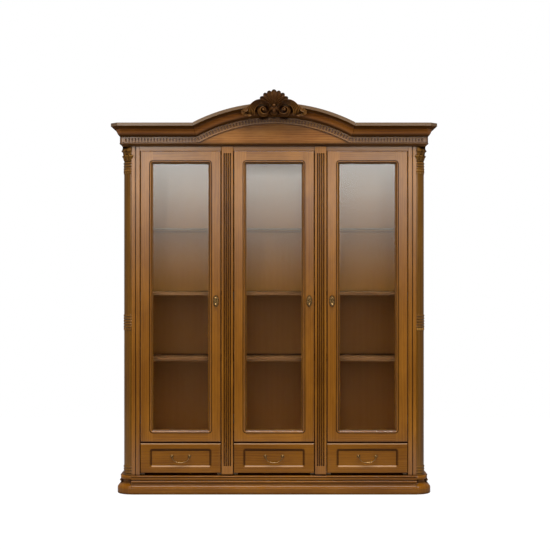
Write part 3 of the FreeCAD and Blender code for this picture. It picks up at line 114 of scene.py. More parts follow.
WHITE = (1, 1, 1, 1)
GLOSSY_SHARE, SKY_STRENGTH = 0.2, 0.32
FLOOR_GREY, FLOOR_GLOW, FLOOR_SHARE = 0.6, 1.07, 0.9
FLOOR_HALF_WIDTH, FLOOR_HALF_DEPTH, FLOOR_Y, FLOOR_DROP = 4, 2.4, 0.6, 0.0006
surround = bpy.data.worlds.new("white_surround")
surround.use_nodes = True
bpy.context.scene.world = surround
sky = surround.node_tree
sky.nodes.clear()
dim = add(sky, "ShaderNodeBackground", None, {"Color": WHITE, "Strength": SKY_STRENGTH})
white = add(sky, "ShaderNodeBackground", None, {"Color": WHITE, "Strength": 1.0})
both = add(sky, "ShaderNodeMixShader", None,
           {0: shows_plainly(sky), 1: dim.outputs[0], 2: white.outputs[0]})
add(sky, "ShaderNodeOutputWorld", None, {"Surface": both.outputs[0]})

floor_paint, tree = new_finish("studio_floor_paint")
matt = add(tree, "ShaderNodeBsdfDiffuse", None,
           {"Color": (FLOOR_GREY, FLOOR_GREY, FLOOR_GREY, 1)})
glow = add(tree, "ShaderNodeEmission", None, {"Color": WHITE, "Strength": FLOOR_GLOW})
both = add(tree, "ShaderNodeMixShader", None, {
    0: sum_of(tree, shows_plainly(tree), FLOOR_SHARE, "MULTIPLY"),
    1: matt.outputs[0], 2: glow.outputs[0]})
to_surface(tree, both)
bm = bmesh.new()
bmesh.ops.create_grid(bm, x_segments=1, y_segments=1, size=1)
bmesh.ops.scale(bm, vec=(FLOOR_HALF_WIDTH, FLOOR_HALF_DEPTH, 1), verts=bm.verts)
bmesh.ops.translate(bm, vec=(0, FLOOR_Y, -FLOOR_DROP), verts=bm.verts)
studio_floor = mesh_piece("studio_floor", bm, floor_paint)

# The card's foot is dark, so that the lower panes show the inside of the cabinet. Its light ends
# lower in the middle and at the right, and fades less at the left, as in the photo's panes.
CARD_Y, CARD_WIDTH, CARD_FOOT, CARD_HEAD = -7.2, 9, -1.4, 4.9
CARD_STRENGTH, CARD_CURVE = 6.6, 1.6
CARD_DARK_TO, CARD_FULL_FROM, CARD_FULL_TO, CARD_TOP_FROM = 0.95, 2.55, 2.82, 3.12
CARD_TOP_SHARE, CARD_LEFT_SHARE = 0.04, 0.45
MIDDLE_FROM, MIDDLE_TO, MIDDLE_DROP = 0.75, 1.05, 0.42
RIGHT_FROM, RIGHT_TO, RIGHT_DROP = 0.8, 1.2, 0.1
LEFT_FROM, LEFT_TO = -1.2, -0.9
CARD_LOW_HUE, CARD_HIGH_HUE = (1, 0.82, 0.66, 1), (1, 1, 0.96, 1)
card_paint, tree = new_finish("light_card_paint")
spot = add(tree, "ShaderNodeSeparateXYZ", None,
           {0: add(tree, "ShaderNodeTexCoord").outputs["Object"]}).outputs
rise = between(tree, spot["Z"], CARD_DARK_TO, CARD_FULL_FROM)
off = sum_of(tree, spot["X"], 0.0, "ABSOLUTE")
low_middle = between(tree, off, MIDDLE_FROM, MIDDLE_TO, MIDDLE_DROP, 0.0)
low_right = between(tree, spot["X"], RIGHT_FROM, RIGHT_TO, 0.0, RIGHT_DROP)
height = sum_of(tree, spot["Z"], sum_of(tree, low_middle, low_right))
at_top = between(tree, spot["X"], LEFT_FROM, LEFT_TO,
                 CARD_STRENGTH * CARD_LEFT_SHARE, CARD_STRENGTH * CARD_TOP_SHARE)
fall = between(tree, height, CARD_FULL_TO, CARD_TOP_FROM, CARD_STRENGTH, at_top)
level = sum_of(tree, sum_of(tree, rise, CARD_CURVE, "POWER"), fall, "MULTIPLY")
hue = add(tree, "ShaderNodeMix", {"data_type": "RGBA"},
          {0: rise, 6: CARD_LOW_HUE, 7: CARD_HIGH_HUE})
to_surface(tree, add(tree, "ShaderNodeEmission", None,
                     {"Color": hue.outputs[2], "Strength": level}))
bm = bmesh.new()
bmesh.ops.create_grid(bm, x_segments=1, y_segments=1, size=0.5)
bmesh.ops.scale(bm, vec=(CARD_WIDTH, CARD_HEAD - CARD_FOOT, 1), verts=bm.verts)
bmesh.ops.rotate(bm, cent=(0, 0, 0), matrix=Matrix.Rotation(math.radians(90), 3, "X"),
                 verts=bm.verts)
bmesh.ops.translate(bm, vec=(0, CARD_Y, (CARD_FOOT + CARD_HEAD) / 2), verts=bm.verts)
light_card = mesh_piece("light_card", bm, card_paint)
light_card.visible_camera = light_card.visible_diffuse = False

# The lamp leans forward a little, so that fronts get light as well as ledges
lamp = bpy.data.lights.new("overhead_lamp", "AREA")
lamp.shape, lamp.size, lamp.size_y, lamp.energy = "RECTANGLE", 6.0, 3.0, 1000
overhead = bpy.data.objects.new("overhead_lamp", lamp)
overhead.location = (0, -3.2, 8.0)
overhead.rotation_euler = (math.radians(24.5), 0, 0)
bpy.context.scene.collection.objects.link(overhead)

# Camera: level, six metres in front of the stiles, at a little over half the cabinet's height
PHOTO_PIXELS = 550
lens = bpy.data.cameras.new("camera")
lens.lens, lens.sensor_width, lens.shift_x = 71.15, 36, 1 / PHOTO_PIXELS
camera = bpy.data.objects.new("camera", lens)
camera.location = (0, -6.16, 1.2056)
camera.rotation_euler = (math.radians(90), 0, 0)
bpy.context.scene.collection.objects.link(camera)
bpy.context.scene.camera = camera
bpy.context.scene.view_settings.view_transform = "Standard"


# Walnut: stained cherry-brown, lacquered to a semi-gloss, and wiped with a dark glaze that stays
# in the recesses, where the same dark colour also stands for painted shade. The figure, the glaze
# with its painted shade and the lacquer are shared by every wooden piece.
def rgb(red, green, blue):
    """An sRGB colour from 0 to 255, as the linear colour that a shader takes."""
    return tuple(((c / 255 + 0.055) / 1.055) ** 2.4 for c in (red, green, blue)) + (1.0,)


def new_effect(name, inputs, outputs):
    """A shader node group with named inputs and outputs."""
    tree = bpy.data.node_groups.new(name, "ShaderNodeTree")
    for label, kind, value in inputs:
        socket = tree.interface.new_socket(label, in_out="INPUT", socket_type=kind)
        if value is not None:
            socket.default_value = value
    for label, kind in outputs:
        tree.interface.new_socket(label, in_out="OUTPUT", socket_type=kind)
    return tree, tree.nodes.new("NodeGroupInput").outputs, tree.nodes.new("NodeGroupOutput").inputs


def stretched(tree, place, x, y, z):
    return add(tree, "ShaderNodeVectorMath", {"operation": "MULTIPLY"},
               {0: place, 1: (x, y, z)}).outputs[0]


def blend_colours(tree, share, first, second, kind="MIX"):
    return add(tree, "ShaderNodeMix", {"data_type": "RGBA", "blend_type": kind},
               {0: share, 6: first, 7: second}).outputs[2]


# The glaze's dark colour, which is also the colour of the painted shade in recesses and on
# mouldings
GLAZE_AND_SHADE = rgb(34, 16, 5)
figure, given, out = new_effect(
    "wood_figure",
    [("Place", "NodeSocketVector", None), ("Deep", "NodeSocketColor", rgb(88, 46, 14)),
     ("Warm", "NodeSocketColor", rgb(140, 88, 34)), ("Pale", "NodeSocketColor", rgb(164, 108, 50)),
     ("Ring scale", "NodeSocketFloat", 24.0)],
    [("Colour", "NodeSocketColor"), ("Height", "NodeSocketFloat"), ("Gloss", "NodeSocketFloat")])
drift = add(figure, "ShaderNodeTexNoise", None, {
    "Vector": stretched(figure, given["Place"], 1, 1, 0.07), "Scale": 9, "Detail": 3,
    "Roughness": 0.55})
bent = add(figure, "ShaderNodeVectorMath", {"operation": "MULTIPLY_ADD"}, {
    0: drift.outputs["Color"], 1: (0.06, 0.06, 0.0),
    2: stretched(figure, given["Place"], 1, 1, 0.045)})
rings = add(figure, "ShaderNodeTexWave", {"wave_type": "BANDS", "bands_direction": "X"}, {
    "Vector": bent.outputs[0], "Scale": given["Ring scale"], "Distortion": 4.5, "Detail": 2.5,
    "Detail Scale": 1.3, "Detail Roughness": 0.6})
mottle = add(figure, "ShaderNodeTexNoise", None, {
    "Vector": stretched(figure, given["Place"], 1, 1, 0.35), "Scale": 5.5, "Detail": 4,
    "Roughness": 0.6})
pores = add(figure, "ShaderNodeTexNoise", None, {
    "Vector": stretched(figure, given["Place"], 1, 1, 0.03), "Scale": 620, "Detail": 1})
tone = sum_of(figure, between(figure, drift.outputs["Fac"], 0.3, 0.7, 0, 0.62),
              between(figure, rings.outputs["Fac"], 0.1, 0.9, 0, 0.38))
colour = blend_colours(figure, tone, given["Deep"], given["Warm"])
colour = blend_colours(figure, between(figure, mottle.outputs["Fac"], 0.42, 0.72, 0, 0.75),
                       colour, given["Pale"])
pore_mask = between(figure, pores.outputs["Fac"], 0.56, 0.7)
colour = blend_colours(figure, sum_of(figure, pore_mask, 0.42, "MULTIPLY"), colour, given["Deep"])
figure.links.new(colour, out["Colour"])
figure.links.new(sum_of(figure, sum_of(figure, rings.outputs["Fac"], 0.35, "MULTIPLY"),
                        pore_mask, "SUBTRACT"), out["Height"])
figure.links.new(between(figure, mottle.outputs["Fac"], 0.3, 0.7, 0.17, 0.25), out["Gloss"])

# Glaze and painted shade: the dark colour is laid where ambient occlusion finds a recess, and the
# mask also takes away the lacquer's shine there
glaze_and_shade, given, out = new_effect(
    "glaze_and_painted_shade_in_recesses",
    [("Colour", "NodeSocketColor", None), ("Glaze and shade", "NodeSocketColor", GLAZE_AND_SHADE),
     ("Reach", "NodeSocketFloat", 0.012), ("Amount", "NodeSocketFloat", 0.85),
     ("Full at", "NodeSocketFloat", 0.35), ("Open from", "NodeSocketFloat", 0.86)],
    [("Colour", "NodeSocketColor"), ("Mask", "NodeSocketFloat")])
shelter = add(glaze_and_shade, "ShaderNodeAmbientOcclusion", {"samples": 6}, {"Distance": given["Reach"]})
mask = sum_of(glaze_and_shade, between(glaze_and_shade, shelter.outputs["AO"], given["Full at"],
                             given["Open from"], 1, 0), given["Amount"], "MULTIPLY")
glaze_and_shade.links.new(blend_colours(glaze_and_shade, mask, given["Colour"], given["Glaze and shade"]), out["Colour"])
glaze_and_shade.links.new(mask, out["Mask"])

GRAIN_TURN = {"X": (0, math.pi / 2, 0), "Y": (math.pi / 2, 0, 0), "Z": (0, 0, 0)}


def grain_place(tree, run, shift):
    """Object coordinates turned so that the grain, which runs along run, lies along Z."""
    place = add(tree, "ShaderNodeTexCoord").outputs["Object"]
    return add(tree, "ShaderNodeMapping", None, {
        "Vector": place, "Location": shift, "Rotation": GRAIN_TURN[run]}).outputs[0]


def tilt_of(tree):
    """1 where a surface faces up, 0 where it is upright and -1 where it faces down."""
    return add(tree, "ShaderNodeSeparateXYZ", None,
               {0: add(tree, "ShaderNodeTexCoord").outputs["Normal"]}).outputs["Z"]


def joint_place(name):
    """Where a joint of the frame has its axis."""
    return next(joint["pos_m"] for joint in frame["joints"] if joint["name"] == name)


BAY_OFFSET, REBATE = joint_place("bail_right_swing")[0], 0.007
pane_low, pane_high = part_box("door_centre_glass")
RAIL_HALF = pane_high.x - REBATE
# Painted shade for a crown's cove and fascia, and a pale painted highlight for ledges that face up
COVE_SHADE, FASCIA_SHADE, PAINTED_HIGHLIGHT_PALE = rgb(66, 38, 8), rgb(98, 76, 52), rgb(206, 164, 118)
COVE_TILTS, FASCIA_TILTS, LEDGE_TILTS = (0.44, 0.60), (0.03, 0.12), (0.15, 0.4)


def walnut(name, run="Z", shift=(0, 0, 0), deep=rgb(102, 59, 10), warm=rgb(137, 85, 16),
           pale=rgb(157, 101, 26), reach=0.012, amount=0.8, full_at=0.35, open_from=0.86,
           shine=1.0, rings=24.0, shaded=0.0, painted_highlight=0.0, frame_lines=None):
    """
    Lacquered walnut with its grain along X, Y or Z, or as a door's joints need it. The glaze,
    which also paints shade into the recesses, takes the lacquer's shine where it lies thick, and
    frame_lines puts lines of glaze and painted shade on a moulding. Shaded wood gets painted shade
    by its tilt, in the cove under a crown's overhang and on its plumb faces, and wood with
    painted_highlight a pale painted highlight where it faces up.
    """
    finish, tree = new_finish(name)
    if frame_lines:
        spot = add(tree, "ShaderNodeSeparateXYZ", None,
                   {0: add(tree, "ShaderNodeTexCoord").outputs["Object"]})
        off = sum_of(tree, spot.outputs["X"], 0.0, "ABSOLUTE")
        outer = sum_of(tree, sum_of(tree, off, BAY_OFFSET, "SUBTRACT"), 0.0, "ABSOLUTE")
        off = sum_of(tree, off, outer, "MINIMUM")
    if run == "door":
        place = add(tree, "ShaderNodeMix", {"data_type": "VECTOR"}, {
            0: sum_of(tree, off, RAIL_HALF, "LESS_THAN"), 4: grain_place(tree, "Z", shift),
            5: grain_place(tree, "X", shift)}).outputs[1]
    else:
        place = grain_place(tree, run, shift)
    grain = add(tree, "ShaderNodeGroup", {"node_tree": figure},
                {"Place": place, "Deep": deep, "Warm": warm, "Pale": pale, "Ring scale": rings})
    glazed_and_shaded = add(tree, "ShaderNodeGroup", {"node_tree": glaze_and_shade},
                {"Colour": grain.outputs["Colour"], "Reach": reach, "Amount": amount,
                 "Full at": full_at, "Open from": open_from})
    colour, mask = glazed_and_shaded.outputs["Colour"], glazed_and_shaded.outputs["Mask"]
    # Lines of glaze and painted shade on a moulding
    if frame_lines:
        lines = frame_lines(tree, off, spot.outputs["Z"])
        colour = blend_colours(tree, lines, colour, GLAZE_AND_SHADE)
        mask = sum_of(tree, mask, lines, "MAXIMUM")
    # Painted shade, laid by how far a face tilts
    if shaded:
        tilt = sum_of(tree, tilt_of(tree), 0.0, "ABSOLUTE")
        under = between(tree, tilt, *COVE_TILTS, 0, shaded)
        plumb = between(tree, tilt, *FASCIA_TILTS, shaded, 0)
        colour = blend_colours(tree, under, colour, COVE_SHADE)
        colour = blend_colours(tree, plumb, colour, FASCIA_SHADE)
        mask = sum_of(tree, mask, under, "MAXIMUM")
    # A pale painted highlight on faces that tilt up
    if painted_highlight:
        upward = between(tree, tilt_of(tree), *LEDGE_TILTS, 0, painted_highlight)
        colour = blend_colours(tree, upward, colour, PAINTED_HIGHLIGHT_PALE)
    relief = add(tree, "ShaderNodeBump", None,
                 {"Height": grain.outputs["Height"], "Distance": 0.0001, "Strength": 0.25})
    to_surface(tree, add(tree, "ShaderNodeBsdfPrincipled", None, {
        "Base Color": colour, "Roughness": grain.outputs["Gloss"], "Normal": relief.outputs[0],
        "Coat Weight": sum_of(tree, sum_of(tree, mask, -1.0 * shine, "MULTIPLY"), shine),
        "Coat Roughness": 0.2, "Specular IOR Level": 0.0}))
    return finish


def dress(finish, *nodes):
    """Gives CAD pieces their finish."""
    for node in nodes:
        parts[node].data.materials.clear()
        parts[node].data.materials.append(finish)


# Carcass: two side panels, two partitions and three back panels between a bottom board, the decks
# over the drawers and a top board, glued up from boards whose grain runs along their length.
INSIDE = {"deep": rgb(84, 46, 16), "warm": rgb(130, 80, 34), "pale": rgb(150, 96, 46),
          "shine": 0.5}
BACK_WOOD = {"deep": rgb(156, 101, 50), "warm": rgb(162, 106, 53), "pale": rgb(168, 112, 58),
             "shine": 0.4}
dress(walnut("side_walnut", "Z", (0.3, 0, 0), rings=16.0), "side_panel_left", "side_panel_right")
dress(walnut("partition_walnut", "Z", (1.1, 0, 0), **INSIDE),
      "partition_left", "partition_right")
dress(walnut("board_walnut", "X", (0.4, 0, 0), **INSIDE), "bottom_board",
      "drawer_decks", "dust_board", "cornice_boards")
dress(walnut("top_walnut", "X", (2.4, 0, 0)), "top_board")
dress(walnut("back_veneer", "Z", (3.3, 0, 0), rings=9.0, **BACK_WOOD), "back_panels")

# Plinth: a moulded board along the front and one along each side, run between turned corner
# blocks; a little darker than the rest, with the glaze and painted shade left in its quirks and
# cove.
PLINTH_WOOD = {"deep": rgb(92, 51, 5), "warm": rgb(122, 74, 8), "pale": rgb(140, 88, 17),
               "shine": 0.35}
PLINTH_GLAZE_AND_SHADE = {"reach": 0.02, "amount": 0.95, "full_at": 0.45, "open_from": 0.92}
dress(walnut("plinth_walnut", "X", (0.9, 0, 0), **PLINTH_WOOD, **PLINTH_GLAZE_AND_SHADE), "plinth_front")
dress(walnut("plinth_side_walnut", "Y", (1.7, 0, 0), **PLINTH_WOOD, **PLINTH_GLAZE_AND_SHADE),
      "plinth_sides")
dress(walnut("corner_walnut", "Z", (0.5, 0, 0), **PLINTH_WOOD, **PLINTH_GLAZE_AND_SHADE),
      "plinth_corner_left", "plinth_corner_right")

# Face frame: fluted pilasters and moulded stiles that stand in front of the partitions and the
# sides, and a short rail over each door; solid walnut with the glaze and painted shade in every
# flute.
dress(walnut("pilaster_walnut", "Z", (2.2, 0, 0), reach=0.012, amount=1.0, full_at=0.84,
             open_from=0.97, shine=0.7), "pilaster_left", "pilaster_right")
dress(walnut("stile_walnut", "Z", (1.4, 0, 0), reach=0.014, amount=0.9, open_from=0.92),
      "face_stile_left", "face_stile_right")
dress(walnut("rail_walnut", "X", (2.9, 0, 0)), "top_rails")

# Corner columns: quarter columns turned in one piece, with beads at the foot, at half height and
# at the neck, where the glaze and painted shade are darkest; the wood is darker than the stiles'
# as painted shade on the column's curve.
COLUMN_WOOD = {"deep": rgb(78, 46, 6), "warm": rgb(108, 69, 12), "pale": rgb(126, 84, 22),
               "shine": 0.45}
dress(walnut("column_walnut", "Z", (0.2, 0, 0), reach=0.014, amount=0.9, **COLUMN_WOOD),
      "column_left", "column_right")

# Capitals: lime wood, carved with leaves that curl out under a thin abacus, stained nearly black
# and worn back to gold-brown on the high edges, with glaze and painted shade dark in the hollows;
# small leaves hang under each group of rings.
CARVED_SHINE, FINEST = 0.25, 0.0004


def carved_finish(name, worn, warm, deep, reach, open_from):
    """Dark stained carving with worn, lighter edges, glaze and painted shade in its hollows and
    the marks of the gouge.
    """
    finish, tree = new_finish(name)
    place = grain_place(tree, "Z", (0.1, 0.3, 0))
    grain = add(tree, "ShaderNodeGroup", {"node_tree": figure}, {
        "Place": place, "Deep": warm, "Warm": warm, "Pale": worn, "Ring scale": 60.0})
    glazed_and_shaded = add(tree, "ShaderNodeGroup", {"node_tree": glaze_and_shade}, {
        "Colour": grain.outputs["Colour"], "Glaze and shade": deep, "Reach": reach, "Amount": 0.96,
        "Open from": open_from})
    marks = add(tree, "ShaderNodeTexNoise", None,
                {"Vector": place, "Scale": 260, "Detail": 3, "Roughness": 0.6})
    relief = add(tree, "ShaderNodeBump", None,
                 {"Height": marks.outputs["Fac"], "Distance": 0.0008, "Strength": 0.6})
    to_surface(tree, add(tree, "ShaderNodeBsdfPrincipled", None, {
        "Base Color": glazed_and_shaded.outputs["Colour"], "Roughness": 0.5,
        "Normal": relief.outputs[0], "Specular IOR Level": 0.0, "Coat Roughness": 0.28,
        "Coat Weight": between(tree, glazed_and_shaded.outputs["Mask"], 0.1, 0.8, CARVED_SHINE, 0)}))
    return finish


def swept(path, widths, depths, front=None, across=None, scoop=0.0, rib=0.0, sides=12):
    """
    A closed form with an oval section, carried along a path. A scoop hollows its front, and a
    rib stands along the middle of the hollow.
    """
    bm = bmesh.new()
    bmesh.ops.create_circle(bm, cap_ends=True, segments=sides, radius=1)
    for v in bm.verts:
        if v.co.y > 0.01:
            v.co.y *= 1 - scoop * (1 - v.co.x ** 2) + rib * (abs(v.co.x) < 0.3)
    rim, last = bm.edges[:], Matrix()
    for index, point in enumerate(path):
        ahead, behind = path[min(index + 1, len(path) - 1)], path[max(index - 1, 0)]
        along = (Vector(ahead) - Vector(behind)).normalized()
        side = across.normalized() if across else front.cross(along).normalized()
        face = along.cross(side).normalized()
        place = Matrix((side * widths[index], face * depths[index], along)).transposed().to_4x4()
        place.translation = point
        if index:
            made = bmesh.ops.extrude_edge_only(bm, edges=rim)["geom"]
            verts = [item for item in made if isinstance(item, bmesh.types.BMVert)]
            rim = [item for item in made
                   if isinstance(item, bmesh.types.BMEdge) and item.is_boundary]
        else:
            verts = bm.verts[:]
        bmesh.ops.transform(bm, matrix=place @ last.inverted(), verts=verts)
        last = place
    bmesh.ops.contextual_create(bm, geom=rim)
    return bm


def bezier(*points, count=12):
    """Points along one or more bezier runs that share their end points."""
    line = []
    for start in range(0, len(points) - 1, 3):
        run = [Vector(point) for point in points[start:start + 4]]
        line += interpolate_bezier(*run, count)[1 if line else 0:]
    return line


def leaf_widths(count, widest, lobes=3.0, foot=0.45, at=0.55):
    """Half widths of a leaf with a lobed edge, from its foot to a fine tip."""
    widths = []
    for index in range(count):
        u = index / (count - 1)
        swell = foot + (1 - foot) * math.sin(math.pi / 2 * min(u / at, 1))
        fade = math.sqrt(max(1 - (max(u - at, 0) / (1 - at)) ** 2, 0.0))
        edge = 0.76 + 0.24 * abs(math.cos(math.pi * lobes * u))
        widths.append(max(widest * swell * fade * edge, FINEST))
    return widths


def leaf(path, widest, thick, front=None, across=None, lobes=3.0, foot=0.45):
    """A hollowed leaf with a rib, along a path."""
    widths = leaf_widths(len(path), widest, lobes, foot)
    depths = [max(thick * min(1, width / widest * 1.6), FINEST) for width in widths]
    return swept(path, widths, depths, front, across, scoop=1.15, rib=0.5, sides=16)


def turned(profile, steps, angle=None):
    """A form turned about the vertical axis, or a part turn of one that starts at the front."""
    bm = bmesh.new()
    line = [bm.verts.new((0, -radius, height)) for radius, height in profile]
    if angle:
        bmesh.ops.contextual_create(bm, geom=line)
    else:
        for start, end in zip(line, line[1:]):
            bm.edges.new((start, end))
    bmesh.ops.spin(bm, geom=bm.verts[:] + bm.edges[:] + bm.faces[:], cent=(0, 0, 0),
                   axis=(0, 0, 1), angle=angle or 2 * math.pi, steps=steps,
                   use_merge=not angle)
    bmesh.ops.remove_doubles(bm, verts=bm.verts, dist=0.00002)
    return bm


def lay_in(whole, form, *places):
    """Adds a form to a larger piece at each of its places."""
    loose = bpy.data.meshes.new("form")
    form.to_mesh(loose)
    form.free()
    for place in places:
        first = len(whole.verts)
        whole.from_mesh(loose)
        whole.verts.ensure_lookup_table()
        bmesh.ops.transform(whole, matrix=place, verts=whole.verts[first:])
    bpy.data.meshes.remove(loose)


def set_piece(name, bm, body, slot, finish, *nodes):
    """Makes a piece with outward faces that rides on a body and stands for CAD nodes."""
    bmesh.ops.recalc_face_normals(bm, faces=bm.faces)
    piece = mesh_piece(name, bm, finish)
    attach(piece, body)
    if nodes:
        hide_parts(*nodes)
    return piece


# Heights are measured from the head of the column. A hanging leaf has its foot, length and width.
capital_low, capital_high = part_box("capital_right")
COLUMN_X, COLUMN_Y, COLUMN_HEAD = capital_low.x, capital_high.y, capital_low.z
HANGING_LEAVES = ((-0.0310, 0.040, 0.0095), (-0.9170, 0.017, 0.0080))
HANGING_REACH, LEAF_WIDTHWAYS, CURL_STEPS = 0.0475, Vector((1, 0, 0)), 10
CURL_HALF, CURL_RADIUS, CURL_Y, CURL_Z = 0.0125, 0.0088, -0.0500, 0.0655
CURL_CLOSES_AT = 5.6
UPPER_SHARES, LOWER_SHARES = (0.17, 0.5, 0.83), (0.03, 0.335, 0.665, 0.97)
HANGING_SHARES = (0.1, 0.3, 0.5, 0.7, 0.9)
carving_finish = carved_finish("capital_carving", rgb(196, 144, 66), rgb(106, 68, 20),
                               rgb(26, 13, 4), 0.014, 0.97)
curl_path = [(2 * CURL_HALF * i / CURL_STEPS - CURL_HALF, CURL_Y, CURL_Z)
             for i in range(CURL_STEPS + 1)]
curl_radii = [CURL_RADIUS * math.sqrt(1 - ((i - CURL_STEPS / 2) / CURL_CLOSES_AT) ** 2)
              for i in range(CURL_STEPS + 1)]
for side, sign in (("left", -1), ("right", 1)):
    stand = Matrix.Translation((sign * COLUMN_X, COLUMN_Y, COLUMN_HEAD))
    turn = -sign * math.pi / 2

    def around(shares):
        """Places round the quarter column, as shares of its turn."""
        return [stand @ Matrix.Rotation(-turn * share, 4, "Z") for share in shares]

    carving = bmesh.new()
    bell = turned([(0, 0), (0.0462, 0), (0.0462, 0.006), (0.0448, 0.010), (0.0446, 0.028),
                   (0.0462, 0.048), (0.0500, 0.066), (0.0520, 0.071), (0.0548, 0.073),
                   (0.0566, 0.075), (0.0566, 0.082), (0, 0.082)], 16, -turn)
    lay_in(carving, bell, stand)
    upper = leaf(bezier((0, -0.043, 0.010), (0, -0.051, 0.034), (0, -0.046, 0.056),
                        (0, -0.0560, 0.064), (0, -0.0608, 0.067), (0, -0.0610, 0.058),
                        (0, -0.0570, 0.054), count=9),
                 0.0158, 0.0046, across=LEAF_WIDTHWAYS, lobes=3.5)
    lay_in(carving, upper, *around(UPPER_SHARES))
    curl = swept(curl_path, curl_radii, curl_radii, across=Vector((0, 0, 1)), sides=18)
    lay_in(carving, curl, *around(UPPER_SHARES))
    lower = leaf(bezier((0, -0.042, 0.001), (0, -0.050, 0.014), (0, -0.047, 0.026),
                        (0, -0.0530, 0.033), (0, -0.0572, 0.036), (0, -0.0575, 0.028),
                        (0, -0.0540, 0.025), count=8),
                 0.0118, 0.0040, across=LEAF_WIDTHWAYS, lobes=2.5)
    lay_in(carving, lower, *around(LOWER_SHARES))
    set_piece(f"capital_{side}_carving", carving, "cabinet", "dark_carving", carving_finish,
              f"capital_{side}")

    hanging = bmesh.new()
    for foot, drop, wide in HANGING_LEAVES:
        line = bezier((0, -HANGING_REACH + 0.0035, foot),
                      (0, -HANGING_REACH - 0.001, foot - drop * 0.3),
                      (0, -HANGING_REACH + 0.001, foot - drop * 0.7),
                      (0, -HANGING_REACH + 0.0015, foot - drop), count=9)
        drooping = leaf(line, wide, 0.0030, across=-LEAF_WIDTHWAYS, lobes=2.0, foot=0.8)
        lay_in(hanging, drooping, *around(HANGING_SHARES))
    set_piece(f"column_{side}_leaves", hanging, "cabinet", "dark_carving", carving_finish)

# Cornice: a bed mould, a dentil band and a crown moulding, which rise together over the middle in
# a low arch with mitred knees, in front of an arched board.
# The bed mould's wood is darker and its glaze reaches far and full, as painted shadow under the
# crown's overhang
BED_WOOD_PAINTED_SHADOW = {"deep": rgb(60, 32, 4), "warm": rgb(104, 63, 12), "pale": rgb(126, 80, 22)}
dress(walnut("bed_mould_walnut_painted_shadow", "X", (3.1, 0, 0), reach=0.035, amount=1.0, open_from=0.95,
             shine=0.3, **BED_WOOD_PAINTED_SHADOW), "bed_mould")
# The dentil band's glaze paints shade into the slots between the teeth
dress(walnut("dentil_walnut", "X", (0.6, 0, 0), reach=0.022, amount=1.0, full_at=0.93,
             open_from=1.0), "dentil_band")
# The crown's wood is brighter and warmer than the rest, as painted fill light in its cove; it also
# gets painted shade by tilt and a far-reaching glaze
CROWN_WOOD_PAINTED_FILL = {"deep": rgb(116, 62, 10), "warm": rgb(168, 98, 20), "pale": rgb(186, 114, 30)}
BOARD_WOOD = {"deep": rgb(108, 61, 26), "warm": rgb(163, 107, 48), "pale": rgb(184, 127, 64)}
dress(walnut("crown_walnut_painted_light_and_shade", "X", (1.8, 0, 0), reach=0.045, amount=1.0, full_at=0.6,
             open_from=0.92, shine=0.72, shaded=0.94, **CROWN_WOOD_PAINTED_FILL), "crown_moulding")
dress(walnut("pediment_walnut", "X", (2.6, 0, 0), reach=0.03, open_from=0.95, shine=0.3,
             **BOARD_WOOD), "pediment_board")

# Crest: a shell of seven hollowed lobes over a drooping leaf, between two scrolls of five strands
# that wind in to a domed eye and end in small leaves; carved like the capitals and glued on.
FORWARD = Vector((0, -1, 0))
LOBE_FOOT_Z, LOBE_FOOT_Y, LOBE_TIP_Y = 2.126, -0.2205, -0.2265
LOBE_END, LOBE_DEPTH = 0.0175, 0.0130
# For each lobe, where its tip is, which way it points, how far it bows and its half width
LOBES = (((0, 2.2021), 90, 0, 0.0164), ((0.0246, 2.1954), 72, 0.06, 0.0160),
         ((0.0457, 2.1837), 52, 0.16, 0.0158), ((0.0620, 2.1668), 30, 0.26, 0.0158))
LOBE_FOOT_HALF, LOBE_GROWS_TO, LOBE_ROUND, LOBE_RUN = 0.0045, 0.8, 0.2, 200
LOBE_SPOTS = [LOBE_GROWS_TO * i / 13 for i in range(13)] + [
    LOBE_GROWS_TO + LOBE_ROUND * math.sin(math.pi / 2 * i / 9) for i in range(10)]


def rounded_end(share, least):
    """The share of full size that is left at a place on the way to a rounded end."""
    return math.sqrt(max(1 - share ** 2, least))


def laid_flat(x, z):
    """A place for a turned form that faces forward."""
    return Matrix.Translation((x, 0, z)) @ Matrix.Rotation(math.radians(90), 4, "X")


crest = bmesh.new()
for (tip_x, tip_z), heading, bow, wide in LOBES:
    for sign in ((-1, 1) if tip_x else (1,)):
        turn = Vector((math.cos(math.radians(heading)), 0, math.sin(math.radians(heading))))
        end = Vector((tip_x, LOBE_TIP_Y, tip_z)) + turn * LOBE_END
        foot = Vector((tip_x * 0.10, LOBE_FOOT_Y, LOBE_FOOT_Z))
        run = bezier(foot, foot + Vector((tip_x * 0.12, -0.004, 0.030)),
                     end - turn * 0.042 + Vector((-tip_x * bow, 0.002, 0)), end,
                     count=LOBE_RUN)
        line = [run[round((LOBE_RUN - 1) * spot)] for spot in LOBE_SPOTS]
        widths = [(LOBE_FOOT_HALF
                   + (wide - LOBE_FOOT_HALF) * min(1, (spot / LOBE_GROWS_TO) ** 1.15))
                  * rounded_end(max(spot - LOBE_GROWS_TO, 0) / LOBE_ROUND, 0.0004)
                  for spot in LOBE_SPOTS]
        depths = [max(LOBE_DEPTH * min(1, width / wide * 2.2), FINEST) for width in widths]
        lobe = swept([Vector((sign * point.x, point.y, point.z)) for point in line], widths,
                     depths, front=FORWARD, scoop=1.6, rib=0.34, sides=26)
        lay_in(crest, lobe, Matrix())
fan = bezier((0, -0.205, 2.112), (0, -0.205, 2.13), (0, -0.205, 2.15), (0, -0.205, 2.188),
             count=10)
lay_in(crest, swept(fan, [0.016, 0.021, 0.028, 0.037, 0.047, 0.056, 0.062, 0.062, 0.052, 0.030],
                    [0.014] * 10, front=FORWARD, sides=20), Matrix())

